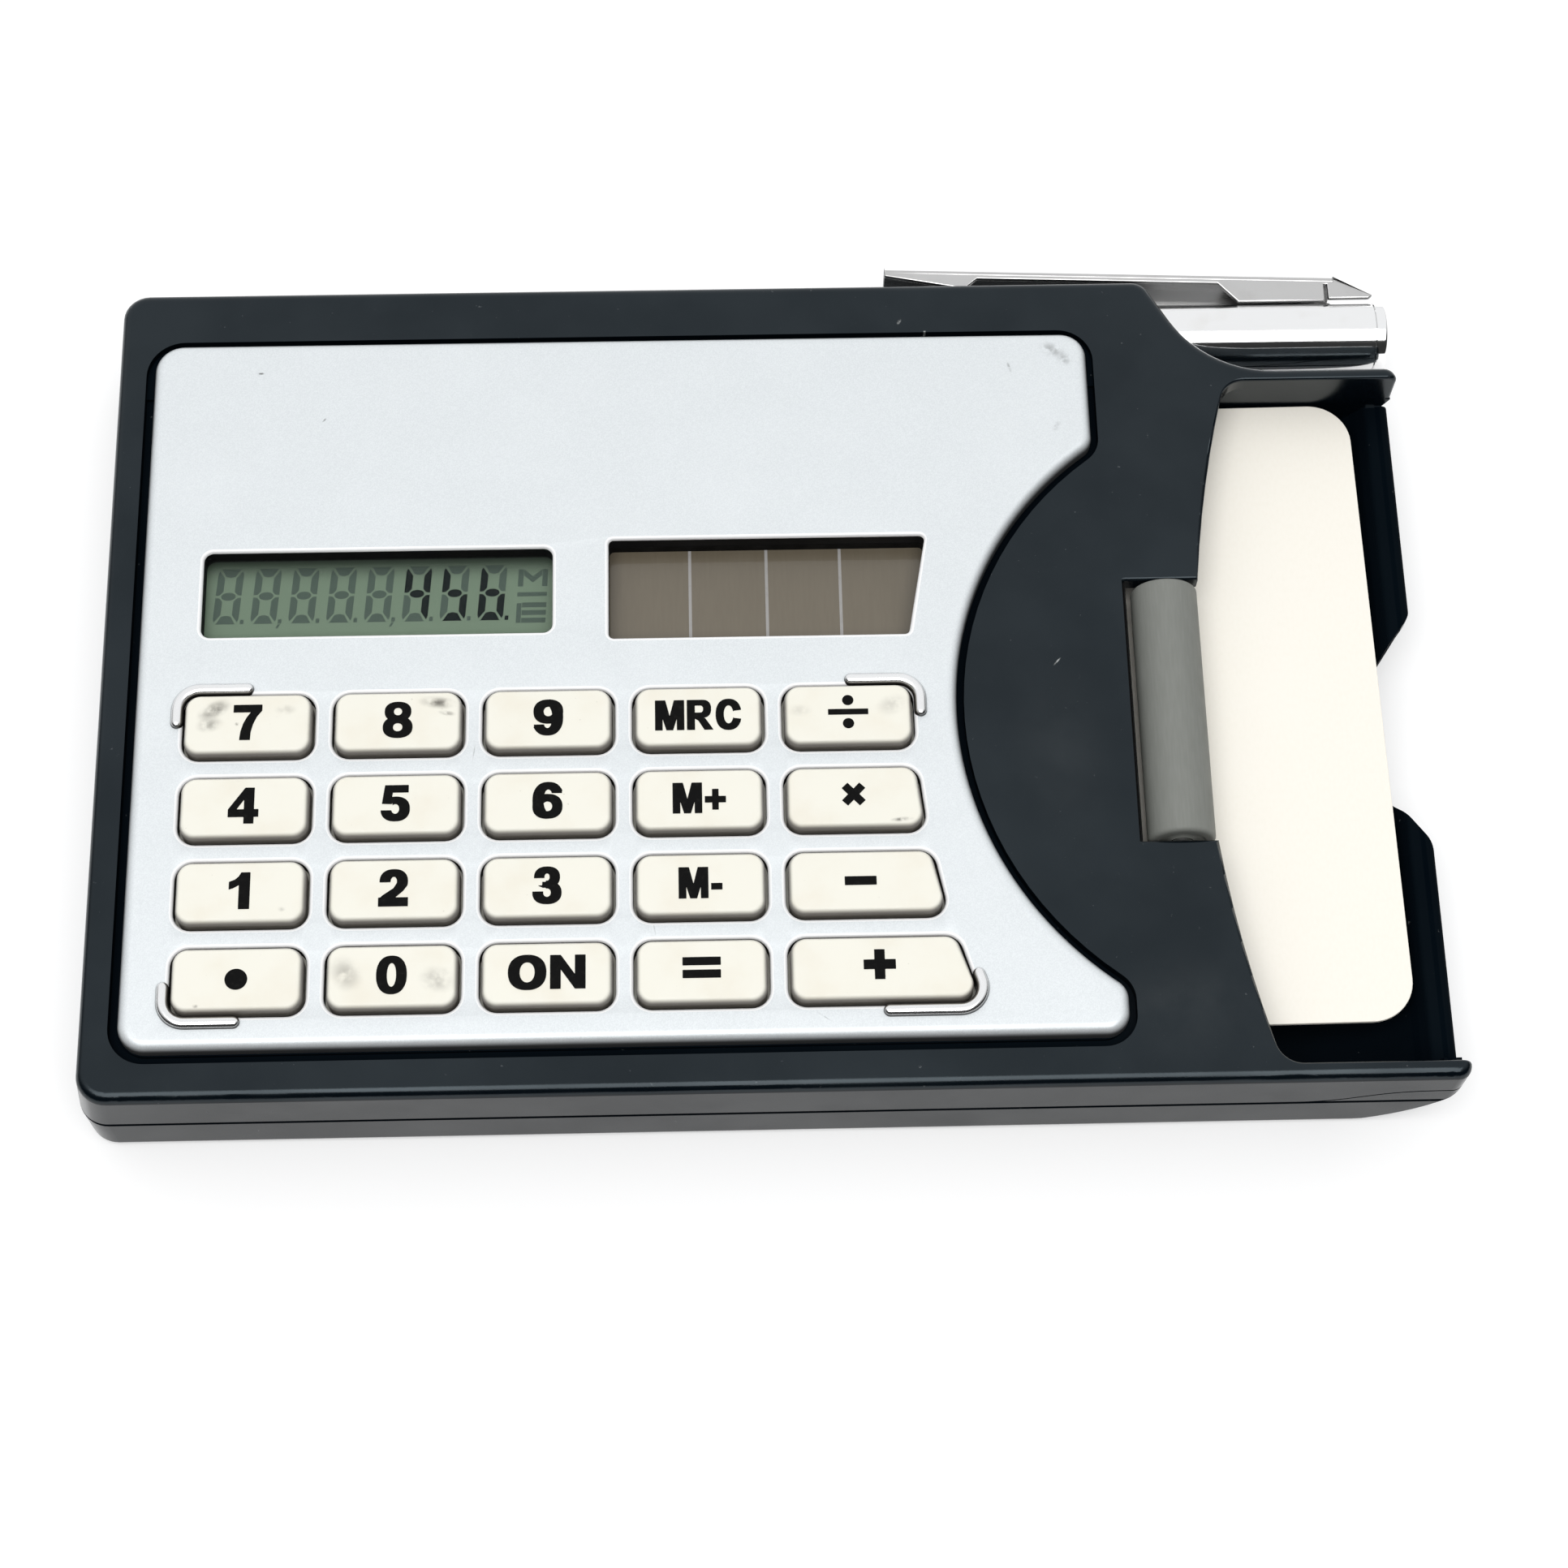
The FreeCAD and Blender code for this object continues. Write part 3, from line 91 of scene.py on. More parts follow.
class Recipe:
    """Wires the nodes of one material around a principled shader."""

    def __init__(self, name: str) -> None:
        """Starts an empty recipe.

        Args:
            name: the material's name.
        """
        self.material = bpy.data.materials.new(name)
        self.material.use_nodes = True
        self.tree = self.material.node_tree
        self.tree.nodes.clear()
        output = self.tree.nodes.new("ShaderNodeOutputMaterial")
        self.skin = self.tree.nodes.new("ShaderNodeBsdfPrincipled")
        self.tree.links.new(self.skin.outputs["BSDF"], output.inputs["Surface"])
        self.place = self.tree.nodes.new("ShaderNodeTexCoord").outputs["Object"]

    def set(self, **values: object) -> "Recipe":
        """Sets or links the shader's sockets, with underscores for spaces.

        Args:
            values: a number, a colour or an output socket for each socket name.

        Returns:
            The recipe itself.
        """
        for name, value in values.items():
            self.feed(self.skin.inputs[name.replace("_", " ")], value)
        return self

    def feed(self, socket: Socket, value: object) -> None:
        """Links an output to a socket, or writes a plain value on it.

        Args:
            socket: the input to fill.
            value: an output socket, a number or a colour.
        """
        if isinstance(value, Socket):
            self.tree.links.new(value, socket)
        elif isinstance(value, tuple) and socket.type == "RGBA":
            socket.default_value = (*value, 1.0)
        else:
            socket.default_value = value

    def stretched(self, stretch: Corner) -> Socket:
        """Scales the object coordinates.

        Args:
            stretch: the factor along each axis.

        Returns:
            The scaled coordinates.
        """
        node = self.tree.nodes.new("ShaderNodeMapping")
        node.inputs["Scale"].default_value = stretch
        self.tree.links.new(self.place, node.inputs["Vector"])
        return node.outputs["Vector"]

    def noise(self, size: float, detail: float = 2.0, stretch: Corner = (1.0, 1.0, 1.0)) -> Socket:
        """Makes a cloudy pattern.

        Args:
            size: the width of one cloud in millimetres.
            detail: how many finer layers it has.
            stretch: the factor along each axis, above one for finer.

        Returns:
            The pattern from 0 to 1.
        """
        node = self.tree.nodes.new("ShaderNodeTexNoise")
        node.inputs["Scale"].default_value = 1.0 / (size * MM)
        node.inputs["Detail"].default_value = detail
        self.tree.links.new(self.stretched(stretch), node.inputs["Vector"])
        return node.outputs["Fac"]

    def flakes(self, size: float) -> Socket:
        """Makes a pattern of small cells, each with its own value.

        Args:
            size: the width of one cell in millimetres.

        Returns:
            The value of each cell from 0 to 1.
        """
        node = self.tree.nodes.new("ShaderNodeTexVoronoi")
        node.inputs["Scale"].default_value = 1.0 / (size * MM)
        self.tree.links.new(self.place, node.inputs["Vector"])
        return node.outputs["Color"]

    def ramp(self, source: Socket, low: float, high: float, to: Point = (0.0, 1.0)) -> Socket:
        """Maps one range of a pattern to another, held at its ends.

        Args:
            source: the pattern.
            low: the value that becomes the first end.
            high: the value that becomes the second end.
            to: the two ends.

        Returns:
            The mapped pattern.
        """
        node = self.tree.nodes.new("ShaderNodeMapRange")
        node.interpolation_type = "SMOOTHSTEP"
        self.tree.links.new(source, node.inputs["Value"])
        node.inputs["From Min"].default_value = low
        node.inputs["From Max"].default_value = high
        node.inputs["To Min"].default_value = to[0]
        node.inputs["To Max"].default_value = to[1]
        return node.outputs["Result"]

    def math(self, operation: str, first: object, second: object) -> Socket:
        """Does one sum on two values or patterns.

        Args:
            operation: the name of the sum.
            first: an output or a number.
            second: an output or a number.

        Returns:
            The result.
        """
        node = self.tree.nodes.new("ShaderNodeMath")
        node.operation = operation
        self.feed(node.inputs[0], first)
        self.feed(node.inputs[1], second)
        return node.outputs["Value"]

    def blend(self, factor: object, first: object, second: object) -> Socket:
        """Mixes two colours.

        Args:
            factor: the share of the second colour.
            first: a colour or an output.
            second: a colour or an output.

        Returns:
            The mixed colour.
        """
        node = self.tree.nodes.new("ShaderNodeMix")
        node.data_type = "RGBA"
        self.feed(node.inputs[0], factor)
        self.feed(node.inputs[6], first)
        self.feed(node.inputs[7], second)
        return node.outputs[2]

    def spot(self, centre: Point, size: Point, turn: float, wobble: float) -> Socket:
        """Makes a soft smudge at one place of the plan, with a ragged edge.

        Args:
            centre: its place in millimetres.
            size: its half length and half width in millimetres.
            turn: the direction of its length in degrees.
            wobble: how ragged it is, from 0 to 1.

        Returns:
            Its strength from 0 to 1.
        """
        node = self.tree.nodes.new("ShaderNodeMapping")
        node.vector_type = "TEXTURE"
        node.inputs["Location"].default_value = (centre[0] * MM, centre[1] * MM, 0.0)
        node.inputs["Rotation"].default_value = (0.0, 0.0, math.radians(turn))
        node.inputs["Scale"].default_value = (size[0] * MM, size[1] * MM, 1.0)
        self.tree.links.new(self.place, node.inputs["Vector"])
        length = self.tree.nodes.new("ShaderNodeVectorMath")
        length.operation = "LENGTH"
        self.tree.links.new(node.outputs["Vector"], length.inputs[0])
        inside = self.ramp(length.outputs["Value"], 1.0, 0.0)
        ragged = self.ramp(self.noise(max(size) * 0.55, 4.0), 0.5 - 0.28 * wobble, 0.62)
        return self.math("MULTIPLY", inside, ragged)

    def marked(self, tone: Socket, marks: Sequence[Smudge], wobble: float, soil: Colour) -> Socket:
        """Lays smudges over a colour.

        Args:
            tone: the colour below them.
            marks: the smudges.
            wobble: how ragged they are, from 0 to 1.
            soil: their colour.

        Returns:
            The soiled colour.
        """
        for mark in marks:
            share = self.math("MULTIPLY", self.spot(mark.centre, mark.size, mark.turn, wobble), mark.strength)
            tone = self.blend(share, tone, soil)
        return tone

    def facing_up(self, low: float, high: float) -> Socket:
        """Tells how level a surface is.

        Args:
            low: the upward part of its normal that counts as 0.
            high: the upward part that counts as 1.

        Returns:
            The level share from 0 to 1.
        """
        shape = self.tree.nodes.new("ShaderNodeNewGeometry")
        split = self.tree.nodes.new("ShaderNodeSeparateXYZ")
        self.tree.links.new(shape.outputs["Normal"], split.inputs["Vector"])
        return self.ramp(split.outputs["Z"], low, high)

    def along(self, axis: str, low: float, high: float) -> Socket:
        """Tells how far a point lies along one axis.

        Args:
            axis: X, Y or Z.
            low: the place in millimetres that counts as 0.
            high: the place that counts as 1.

        Returns:
            The share from 0 to 1.
        """
        split = self.tree.nodes.new("ShaderNodeSeparateXYZ")
        self.tree.links.new(self.place, split.inputs["Vector"])
        return self.ramp(split.outputs[axis], low * MM, high * MM)

    def outside(self, low: Corner, high: Corner) -> Socket:
        """Tells the outer faces from those inside a box.

        Args:
            low: the lowest corner of the box in millimetres.
            high: its highest corner.

        Returns:
            1 outside and on faces that look down, 0 on the other faces inside.
        """
        beyond = self.facing_up(-0.1, -0.3)
        for axis, first, last in zip("XYZ", low, high):
            beyond = self.math("MAXIMUM", beyond, self.along(axis, first, first - 0.12))
            beyond = self.math("MAXIMUM", beyond, self.along(axis, last, last + 0.12))
        return beyond

    def bump(self, height: Socket, depth: float, under: Socket | None = None) -> Socket:
        """Turns a pattern into small relief.

        Args:
            height: the pattern.
            depth: the height of the relief in millimetres.
            under: the relief that this one lies on.

        Returns:
            The bent normal.
        """
        node = self.tree.nodes.new("ShaderNodeBump")
        node.inputs["Distance"].default_value = depth * MM
        self.tree.links.new(height, node.inputs["Height"])
        if under is not None:
            self.tree.links.new(under, node.inputs["Normal"])
        return node.outputs["Normal"]


@dataclass(frozen=True)
class MouldedPlastic:
    """Satin moulded plastic with a fine spark grain, dull clouds and a little dust; inside its hollow boxes
    it loses its shine and dulls, as painted shade.
    """

    name: str
    colour: Colour
    cloud: Colour
    gloss: Point = (0.16, 0.26)
    shine: float = 0.43
    grain: float = 0.16
    depth: float = 0.003
    dust: float = 0.25
    tint: Colour = (1.0, 1.0, 1.0)
    marks: tuple[Smudge, ...] = ()
    hollows: tuple[tuple[Corner, Corner], ...] = ()
    seam: float | None = None
    front: Point | None = None
    front_shine: float = 0.27

    def make(self) -> Material:
        """Builds the material.

        Returns:
            The material.
        """
        mix = Recipe(self.name)
        tone = mix.blend(mix.ramp(mix.noise(14.0, 4.0), 0.35, 0.68), self.colour, self.cloud)
        specks = mix.math("MULTIPLY", mix.ramp(mix.noise(0.5, 3.0), 0.72, 0.8), self.dust)
        tone = mix.blend(specks, tone, (0.3, 0.31, 0.32))
        tone = mix.marked(tone, self.marks, 1.0, (0.6, 0.61, 0.6))
        dull = mix.ramp(mix.noise(6.0, 5.0), 0.3, 0.75, self.gloss)
        relief = mix.bump(mix.noise(self.grain, 1.0), self.depth)
        relief = mix.bump(mix.noise(22.0, 1.0), 0.03, relief)
        shine = mix.ramp(mix.noise(9.0, 4.0), 0.3, 0.7, (self.shine * 0.88, self.shine * 1.12))
        if self.front is not None:
            held = mix.math("MULTIPLY", mix.along("Y", *self.front), mix.facing_up(0.6, 0.05))
            shine = mix.math("MULTIPLY", shine, mix.ramp(held, 0.0, 1.0, (1.0, self.front_shine)))
        # painted shade: inside each hollow box the shine nearly vanishes and the surface dulls, so it reads
        # dark as shade
        for hollow in self.hollows:
            outer = mix.outside(*hollow)
            shine = mix.math("MULTIPLY", shine, mix.ramp(outer, 0.0, 1.0, (0.06, 1.0)))
            dull = mix.math("MAXIMUM", dull, mix.ramp(outer, 0.0, 1.0, (0.65, 0.0)))
        if self.seam is not None:
            over = mix.along("Z", self.seam + 0.2, self.seam + 0.34)
            under = mix.along("Z", self.seam - 0.2, self.seam - 0.34)
            shine = mix.math("MULTIPLY", shine, mix.math("MAXIMUM", over, under))
        mix.set(Base_Color=tone, Roughness=dull, Normal=relief)
        return mix.set(Specular_IOR_Level=shine, Specular_Tint=self.tint).material


@dataclass(frozen=True)
class SilverPaint:
    """Silver paint with fine flakes, faint clouds and the marks of use, and painted shade on steep faces when
    a side colour is given.
    """

    name: str
    colour: Colour = (0.785, 0.82, 0.835)
    shade: Colour = (0.71, 0.743, 0.76)
    metal: float = 0.4
    marks: tuple[Smudge, ...] = ()
    # painted shade: the colour that steep faces take
    side: Colour | None = None

    def make(self) -> Material:
        """Builds the material.

        Returns:
            The material.
        """
        mix = Recipe(self.name)
        flakes = mix.flakes(0.07)
        tone = mix.blend(mix.ramp(flakes, 0.1, 1.0), self.shade, self.colour)
        tone = mix.blend(mix.ramp(mix.noise(9.0, 5.0), 0.4, 0.8, (0.0, 0.2)), tone, (0.835, 0.86, 0.872))
        tone = mix.marked(tone, self.marks, 0.6, (0.09, 0.09, 0.085))
        # painted shade: steep faces blend to the side colour, as shade falls there
        if self.side is not None:
            tone = mix.blend(mix.facing_up(0.15, 0.92), self.side, tone)
        dull = mix.ramp(mix.noise(3.0, 4.0), 0.3, 0.8, (0.42, 0.49))
        relief = mix.bump(flakes, 0.0015)
        relief = mix.bump(mix.noise(0.8, 2.0), 0.004, relief)
        return mix.set(Base_Color=tone, Metallic=self.metal, Roughness=dull, Normal=relief).material


@dataclass(frozen=True)
class KeyPlastic:
    """Cream key plastic that fingers have soiled here and there, with painted shade on its steep sides."""

    name: str
    colour: Colour = (0.858, 0.838, 0.745)
    aged: Colour = (0.825, 0.785, 0.675)
    # painted shade: the dark colour that the keys' steep sides take
    side: Colour = (0.17, 0.155, 0.135)
    soil: tuple[Smudge, ...] = ()

    def make(self) -> Material:
        """Builds the material.

        Returns:
            The material.
        """
        mix = Recipe(self.name)
        tone = mix.blend(mix.ramp(mix.noise(4.0, 5.0), 0.42, 0.8), self.colour, self.aged)
        tone = mix.marked(tone, self.soil, 1.0, (0.13, 0.12, 0.10))
        specks = mix.ramp(mix.noise(0.35, 3.0), 0.74, 0.8, (0.0, 0.3))
        tone = mix.blend(specks, tone, (0.3, 0.26, 0.2))
        # painted shade: faces that tilt away from level blend to the dark side colour, as shade falls on the
        # key's sides
        tone = mix.blend(mix.facing_up(0.25, 0.88), self.side, tone)
        dull = mix.ramp(mix.noise(2.2, 4.0), 0.3, 0.75, (0.34, 0.5))
        relief = mix.bump(mix.noise(0.12, 1.0), 0.0022)
        return mix.set(Base_Color=tone, Roughness=dull, Normal=relief).material


@dataclass(frozen=True)
class PrintedInk:
    """A thin flat layer of colour, a little uneven and worn, which can darken along Y as a painted shadow."""

    name: str
    colour: Colour
    worn: Colour
    rough: float = 0.55
    shine: float = 0.06
    # painted shadow: between these two y places in millimetres the colour darkens, standing in for the shadow
    # of a window's wall
    painted_shadow: Point | None = None

    def make(self) -> Material:
        """Builds the material.

        Returns:
            The material.
        """
        mix = Recipe(self.name)
        tone = mix.blend(mix.ramp(mix.noise(0.5, 5.0), 0.5, 0.85), self.colour, self.worn)
        # painted shadow: the colour darkens towards the rear, where the window's wall casts shade
        if self.painted_shadow is not None:
            tone = mix.blend(mix.along("Y", *self.painted_shadow), tone, (0.012, 0.016, 0.014))
        relief = mix.bump(mix.noise(0.09, 2.0), 0.0015)
        dull = mix.ramp(mix.noise(1.0, 3.0), 0.3, 0.8, (self.rough - 0.08, self.rough + 0.1))
        return mix.set(Base_Color=tone, Roughness=dull, Normal=relief, Specular_IOR_Level=self.shine).material


@dataclass(frozen=True)
class CoveredPanel:
    """A coloured layer seen through a clear glossy cover, as on a display or a solar cell."""

    name: str
    colour: Colour
    cloud: Colour
    streak: Corner = (1.0, 1.0, 1.0)
    grain: float = 0.25
    coat: float = 0.6

    def make(self) -> Material:
        """Builds the material.

        Returns:
            The material.
        """
        mix = Recipe(self.name)
        fine = mix.noise(self.grain, 3.0, self.streak)
        tone = mix.blend(mix.ramp(fine, 0.3, 0.75), self.colour, self.cloud)
        tone = mix.blend(mix.ramp(mix.noise(7.0, 3.0), 0.45, 0.8, (0.0, 0.4)), tone, self.cloud)
        dull = mix.ramp(mix.noise(2.5, 4.0), 0.35, 0.8, (0.3, 0.45))
        relief = mix.bump(mix.noise(5.0, 2.0), 0.004)
        mix.set(Base_Color=tone, Roughness=dull, Normal=relief)
        return mix.set(Coat_Weight=self.coat, Coat_Roughness=0.06, Coat_IOR=1.5).material


@dataclass(frozen=True)
class ClearCover:
    """Thin clear glass that shows what lies below it and mirrors a little."""

    name: str
    mirror: Point = (0.008, 0.3)
    gloss: Point = (0.06, 0.16)

    def make(self) -> Material:
        """Builds the material.

        Returns:
            The material.
        """
        mix = Recipe(self.name)
        nodes, links = mix.tree.nodes, mix.tree.links
        relief = mix.bump(mix.noise(5.0, 2.0), 0.003)
        through = nodes.new("ShaderNodeBsdfTransparent")
        mirror = nodes.new("ShaderNodeBsdfGlossy")
        mix.feed(mirror.inputs["Roughness"], mix.ramp(mix.noise(2.5, 4.0), 0.35, 0.8, self.gloss))
        mix.feed(mirror.inputs["Normal"], relief)
        slope = nodes.new("ShaderNodeLayerWeight")
        share = mix.ramp(slope.outputs["Facing"], 0.25, 0.95, self.mirror)
        sheet = nodes.new("ShaderNodeMixShader")
        for socket, source in zip(sheet.inputs, (share, through.outputs[0], mirror.outputs[0])):
            links.new(source, socket)
        links.new(sheet.outputs[0], nodes["Material Output"].inputs["Surface"])
        nodes.remove(mix.skin)
        return mix.material


@dataclass(frozen=True)
class DullRubber:
    """Matte rubber with fine lines from its mould or its grinding."""

    name: str
    colour: Colour
    cloud: Colour
    streak: Corner = (1.0, 0.08, 1.0)
    depth: float = 0.006
    shine: float = 0.5

    def make(self) -> Material:
        """Builds the material.

        Returns:
            The material.
        """
        mix = Recipe(self.name)
        lines = mix.noise(0.16, 3.0, self.streak)
        tone = mix.blend(mix.ramp(lines, 0.3, 0.75), self.colour, self.cloud)
        tone = mix.blend(mix.ramp(mix.noise(3.0, 4.0), 0.5, 0.85, (0.0, 0.5)), tone, self.cloud)
        relief = mix.bump(lines, self.depth)
        dull = mix.ramp(mix.noise(1.5, 3.0), 0.3, 0.8, (0.55, 0.72))
        return mix.set(Base_Color=tone, Roughness=dull, Normal=relief, Specular_IOR_Level=self.shine).material


@dataclass(frozen=True)
class PolishedMetal:
    """Plated or rolled metal with hairlines, clouds of handling and a set gloss, and painted shade on steep
    faces when a side colour is given.
    """

    name: str
    colour: Colour
    tarnish: Colour
    gloss: Point = (0.05, 0.14)
    streak: Corner = (0.05, 1.0, 1.0)
    depth: float = 0.0006
    # painted shade: the colour that steep faces take
    side: Colour | None = None

    def make(self) -> Material:
        """Builds the material.

        Returns:
            The material.
        """
        mix = Recipe(self.name)
        lines = mix.noise(0.1, 3.0, self.streak)
        tone = mix.blend(mix.ramp(mix.noise(2.4, 5.0), 0.5, 0.85, (0.0, 0.6)), self.colour, self.tarnish)
        # painted shade: steep faces blend to the side colour, as shade falls there
        if self.side is not None:
            tone = mix.blend(mix.facing_up(0.28, 0.8), self.side, tone)
        dull = mix.ramp(mix.noise(1.2, 5.0, self.streak), 0.3, 0.8, self.gloss)
        relief = mix.bump(lines, self.depth)
        return mix.set(Base_Color=tone, Metallic=1.0, Roughness=dull, Normal=relief).material


@dataclass(frozen=True)
class CardStock:
    """Smooth white card with a faint fibre and a little handling."""

    name: str
    colour: Colour = (0.93, 0.893, 0.808)

    def make(self) -> Material:
        """Builds the material.

        Returns:
            The material.
        """
        mix = Recipe(self.name)
        fibre = mix.noise(0.22, 5.0, (1.0, 0.45, 1.0))
        tone = mix.blend(mix.ramp(fibre, 0.35, 0.75), self.colour, (0.915, 0.877, 0.788))
        tone = mix.blend(mix.ramp(mix.noise(12.0, 4.0), 0.5, 0.8, (0.0, 0.5)), tone, (0.935, 0.9, 0.82))
        relief = mix.bump(fibre, 0.003)
        dull = mix.ramp(mix.noise(4.0, 3.0), 0.3, 0.8, (0.5, 0.62))
        return mix.set(Base_Color=tone, Roughness=dull, Normal=relief).material


# Mesh tools


def rounded_outline(corners: Sequence[Corner], steps: int = 8) -> list[Point]:
    """Rounds the corners of a closed outline.

    Args:
        corners: x, y and radius of each corner, in order; a radius of 0 keeps a plain point.
        steps: how many spans each arc has.

    Returns:
        The points of the outline.
    """
    points: list[Point] = []
    for index, (x, y, radius) in enumerate(corners):
        here = Vector((x, y))
        if radius <= 0.0:
            points.append((x, y))
            continue
        before = (Vector(corners[index - 1][:2]) - here).normalized()
        after = (Vector(corners[(index + 1) % len(corners)][:2]) - here).normalized()
        half = before.angle(after) / 2
        reach = radius / math.tan(half)
        centre = here + (before + after).normalized() * (radius / math.sin(half))
        start = here + before * reach - centre
        sweep = start.angle_signed(here + after * reach - centre)
        for step in range(steps + 1):
            spoke = start.copy()
            spoke.rotate(Matrix.Rotation(-sweep * step / steps, 2))
            points.append(tuple(centre + spoke))
    return points


def fillet_steps(radius: float, count: int, rise: float | None = None) -> list[Point]:
    """Gives the inset and the drop of each ring of a quarter round.

    Args:
        radius: how far in it reaches.
        count: how many spans it has.
        rise: how far down it reaches, if not the same.

    Returns:
        Pairs of inset and drop, from the side up to the top.
    """
    deep = radius if rise is None else rise
    turns = [math.pi / 2 * step / count for step in range(count + 1)]
    return [(radius * (1 - math.cos(turn)), deep * (1 - math.sin(turn))) for turn in turns]


def pane(sides: Sides, grow: float, radius: float, slant: float = 0.0, steps: int = 8) -> list[Point]:
    """Gives the plan of a rectangle with round corners.

    Args:
        sides: left, right, front and rear.
        grow: how much larger it is all round, below 0 for smaller.
        radius: the radius of its corners.
        slant: how far the rear right corner leans out.
        steps: how many spans each corner has.

    Returns:
        The points of the outline.
    """
    left, right, front, rear = sides
    return rounded_outline([
        (left - grow, rear + grow, radius), (right + slant + grow, rear + grow, radius),
        (right + grow, front - grow, radius), (left - grow, front - grow, radius)], steps)


class Sculpt:
    """Collects rings, bridges and fills into one mesh piece, in millimetres."""

    def __init__(self) -> None:
        """Starts an empty mesh."""
        self.mesh = bmesh.new()

    def ring(self, points: Sequence[Point], z: float) -> list[bmesh.types.BMVert]:
        """Adds a level ring of points.

        Args:
            points: the outline.
            z: its height.

        Returns:
            Its vertices.
        """
        return [self.mesh.verts.new((x * MM, y * MM, z * MM)) for x, y in points]

    def loop(self, points: Sequence[Corner]) -> list[bmesh.types.BMVert]:
        """Adds a ring of points in space.

        Args:
            points: x, y and z of each point.

        Returns:
            Its vertices.
        """
        return [self.mesh.verts.new((x * MM, y * MM, z * MM)) for x, y, z in points]

    def bridge(self, first: Sequence, second: Sequence, finish: int = 0) -> None:
        """Joins two rings of equal count with quads.

        Args:
            first: one ring.
            second: the other ring.
            finish: the index of the material.
        """
        for index in range(len(first)):
            after = (index + 1) % len(first)
            face = self.mesh.faces.new((first[index], first[after], second[after], second[index]))
            face.material_index = finish

    def wrap(self, rings: Sequence[Sequence], finish: int = 0) -> None:
        """Joins each ring of a row with the next.

        Args:
            rings: the rings in order.
            finish: the index of the material.
        """
        for first, second in zip(rings, rings[1:]):
            self.bridge(first, second, finish)

    def cap(self, ring: Sequence, finish: int = 0) -> None:
        """Closes a ring with one face.

        Args:
            ring: the ring.
            finish: the index of the material.
        """
        self.mesh.faces.new(ring).material_index = finish

    def fill(self, loops: Sequence[Sequence], finish: int = 0) -> None:
        """Fills the space between an outer ring and the rings of its openings.

        Args:
            loops: the rings, the outer one first.
            finish: the index of the material.
        """
        edges = []
        for ring in loops:
            for index, vertex in enumerate(ring):
                pair = (vertex, ring[(index + 1) % len(ring)])
                edges.append(self.mesh.edges.get(pair) or self.mesh.edges.new(pair))
        made = bmesh.ops.triangle_fill(self.mesh, use_beauty=True, use_dissolve=False, edges=edges)
        for item in made["geom"]:
            if isinstance(item, bmesh.types.BMFace):
                item.material_index = finish

    def loft(self, rings: Sequence[Sequence], finish: int = 0) -> None:
        """Makes a closed solid from a row of rings.

        Args:
            rings: the rings in order.
            finish: the index of the material.
        """
        self.wrap(rings, finish)
        self.cap(rings[0], finish)
        self.cap(rings[-1], finish)

    def slab(self, points: Sequence[Point], low: float, high: float) -> None:
        """Adds a flat solid.

        Args:
            points: its plan.
            low: the height of its underside.
            high: the height of its top.
        """
        self.loft([self.ring(points, low), self.ring(points, high)])

    def rounded_block(self, outline: Outline, low: float, high: float, edge: float, steps: int,
                      finish: int = 0) -> None:
        """Adds a closed solid with rounded top and bottom edges.

        Args:
            outline: gives the plan at an inset.
            low: the height of its underside.
            high: the height of its top.
            edge: the radius of both edges.
            steps: how many spans each round has.
            finish: the index of the material.
        """
        rounds = fillet_steps(edge, steps)
        rings = [self.ring(outline(inset), low + drop) for inset, drop in reversed(rounds)]
        rings += [self.ring(outline(inset), high - drop) for inset, drop in rounds]
        self.loft(rings, finish)

    def lathe(self, profile: Sequence[Point], centre: Point, spans: int) -> None:
        """Turns a profile about a line along X.

        Args:
            profile: place along the line and radius of each ring.
            centre: y and z of the line.
            spans: how many spans go round.
        """
        turns = [2 * math.pi * step / spans for step in range(spans)]
        self.loft([
            self.loop([(x, centre[0] + radius * math.cos(turn), centre[1] + radius * math.sin(turn))
                       for turn in turns])
            for x, radius in profile])

    def piece(self, name: str, finishes: Sequence[Material], sharp: float = SHARP_DEG,
              soften: float = 0.0) -> bpy.types.Object:
        """Makes the object.

        Args:
            name: its name.
            finishes: its materials.
            sharp: edges bent more than this, in degrees, stay sharp.
            soften: how far its sharp edges are rounded off, in millimetres.

        Returns:
            The object, linked to the scene.
        """
        bmesh.ops.remove_doubles(self.mesh, verts=self.mesh.verts, dist=1e-7)
        bmesh.ops.recalc_face_normals(self.mesh, faces=self.mesh.faces)
        data = bpy.data.meshes.new(name)
        self.mesh.to_mesh(data)
        self.mesh.free()
        for finish in finishes:
            data.materials.append(finish)
        data.shade_smooth()
        data.set_sharp_from_angle(angle=math.radians(sharp))
        made = bpy.data.objects.new(name, data)
        bpy.context.scene.collection.objects.link(made)
        if soften > 0.0:
            bevel = made.modifiers.new("softened edges", "BEVEL")
            bevel.width = soften * MM
            bevel.segments = 3
            bevel.limit_method = "ANGLE"
            bevel.angle_limit = math.radians(sharp)
        even = made.modifiers.new("even shading", "WEIGHTED_NORMAL")
        even.keep_sharp = True
        even.weight = 100
        return made


def place(piece: bpy.types.Object, body: str, slot: str, *nodes: str) -> bpy.types.Object:
    """Sets a finished piece on its body.

    Args:
        piece: the object.
        body: the CAD body that it moves with.
        slot: the record's material slot; not used.
        nodes: the CAD nodes that it stands for.

    Returns:
        The object.
    """
    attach(piece, body)
    if nodes:
        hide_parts(*nodes)
    LOG.info("%s rides on %s", piece.name, body)
    return piece


def coat(node: str, finish: Material) -> None:
    """Gives a carried CAD node its finish.

    Args:
        node: the node's name.
        finish: the material.
    """
    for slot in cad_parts[node].material_slots:
        slot.material = finish
    LOG.info("%s carried with %s", node, finish.name)


# Lettering


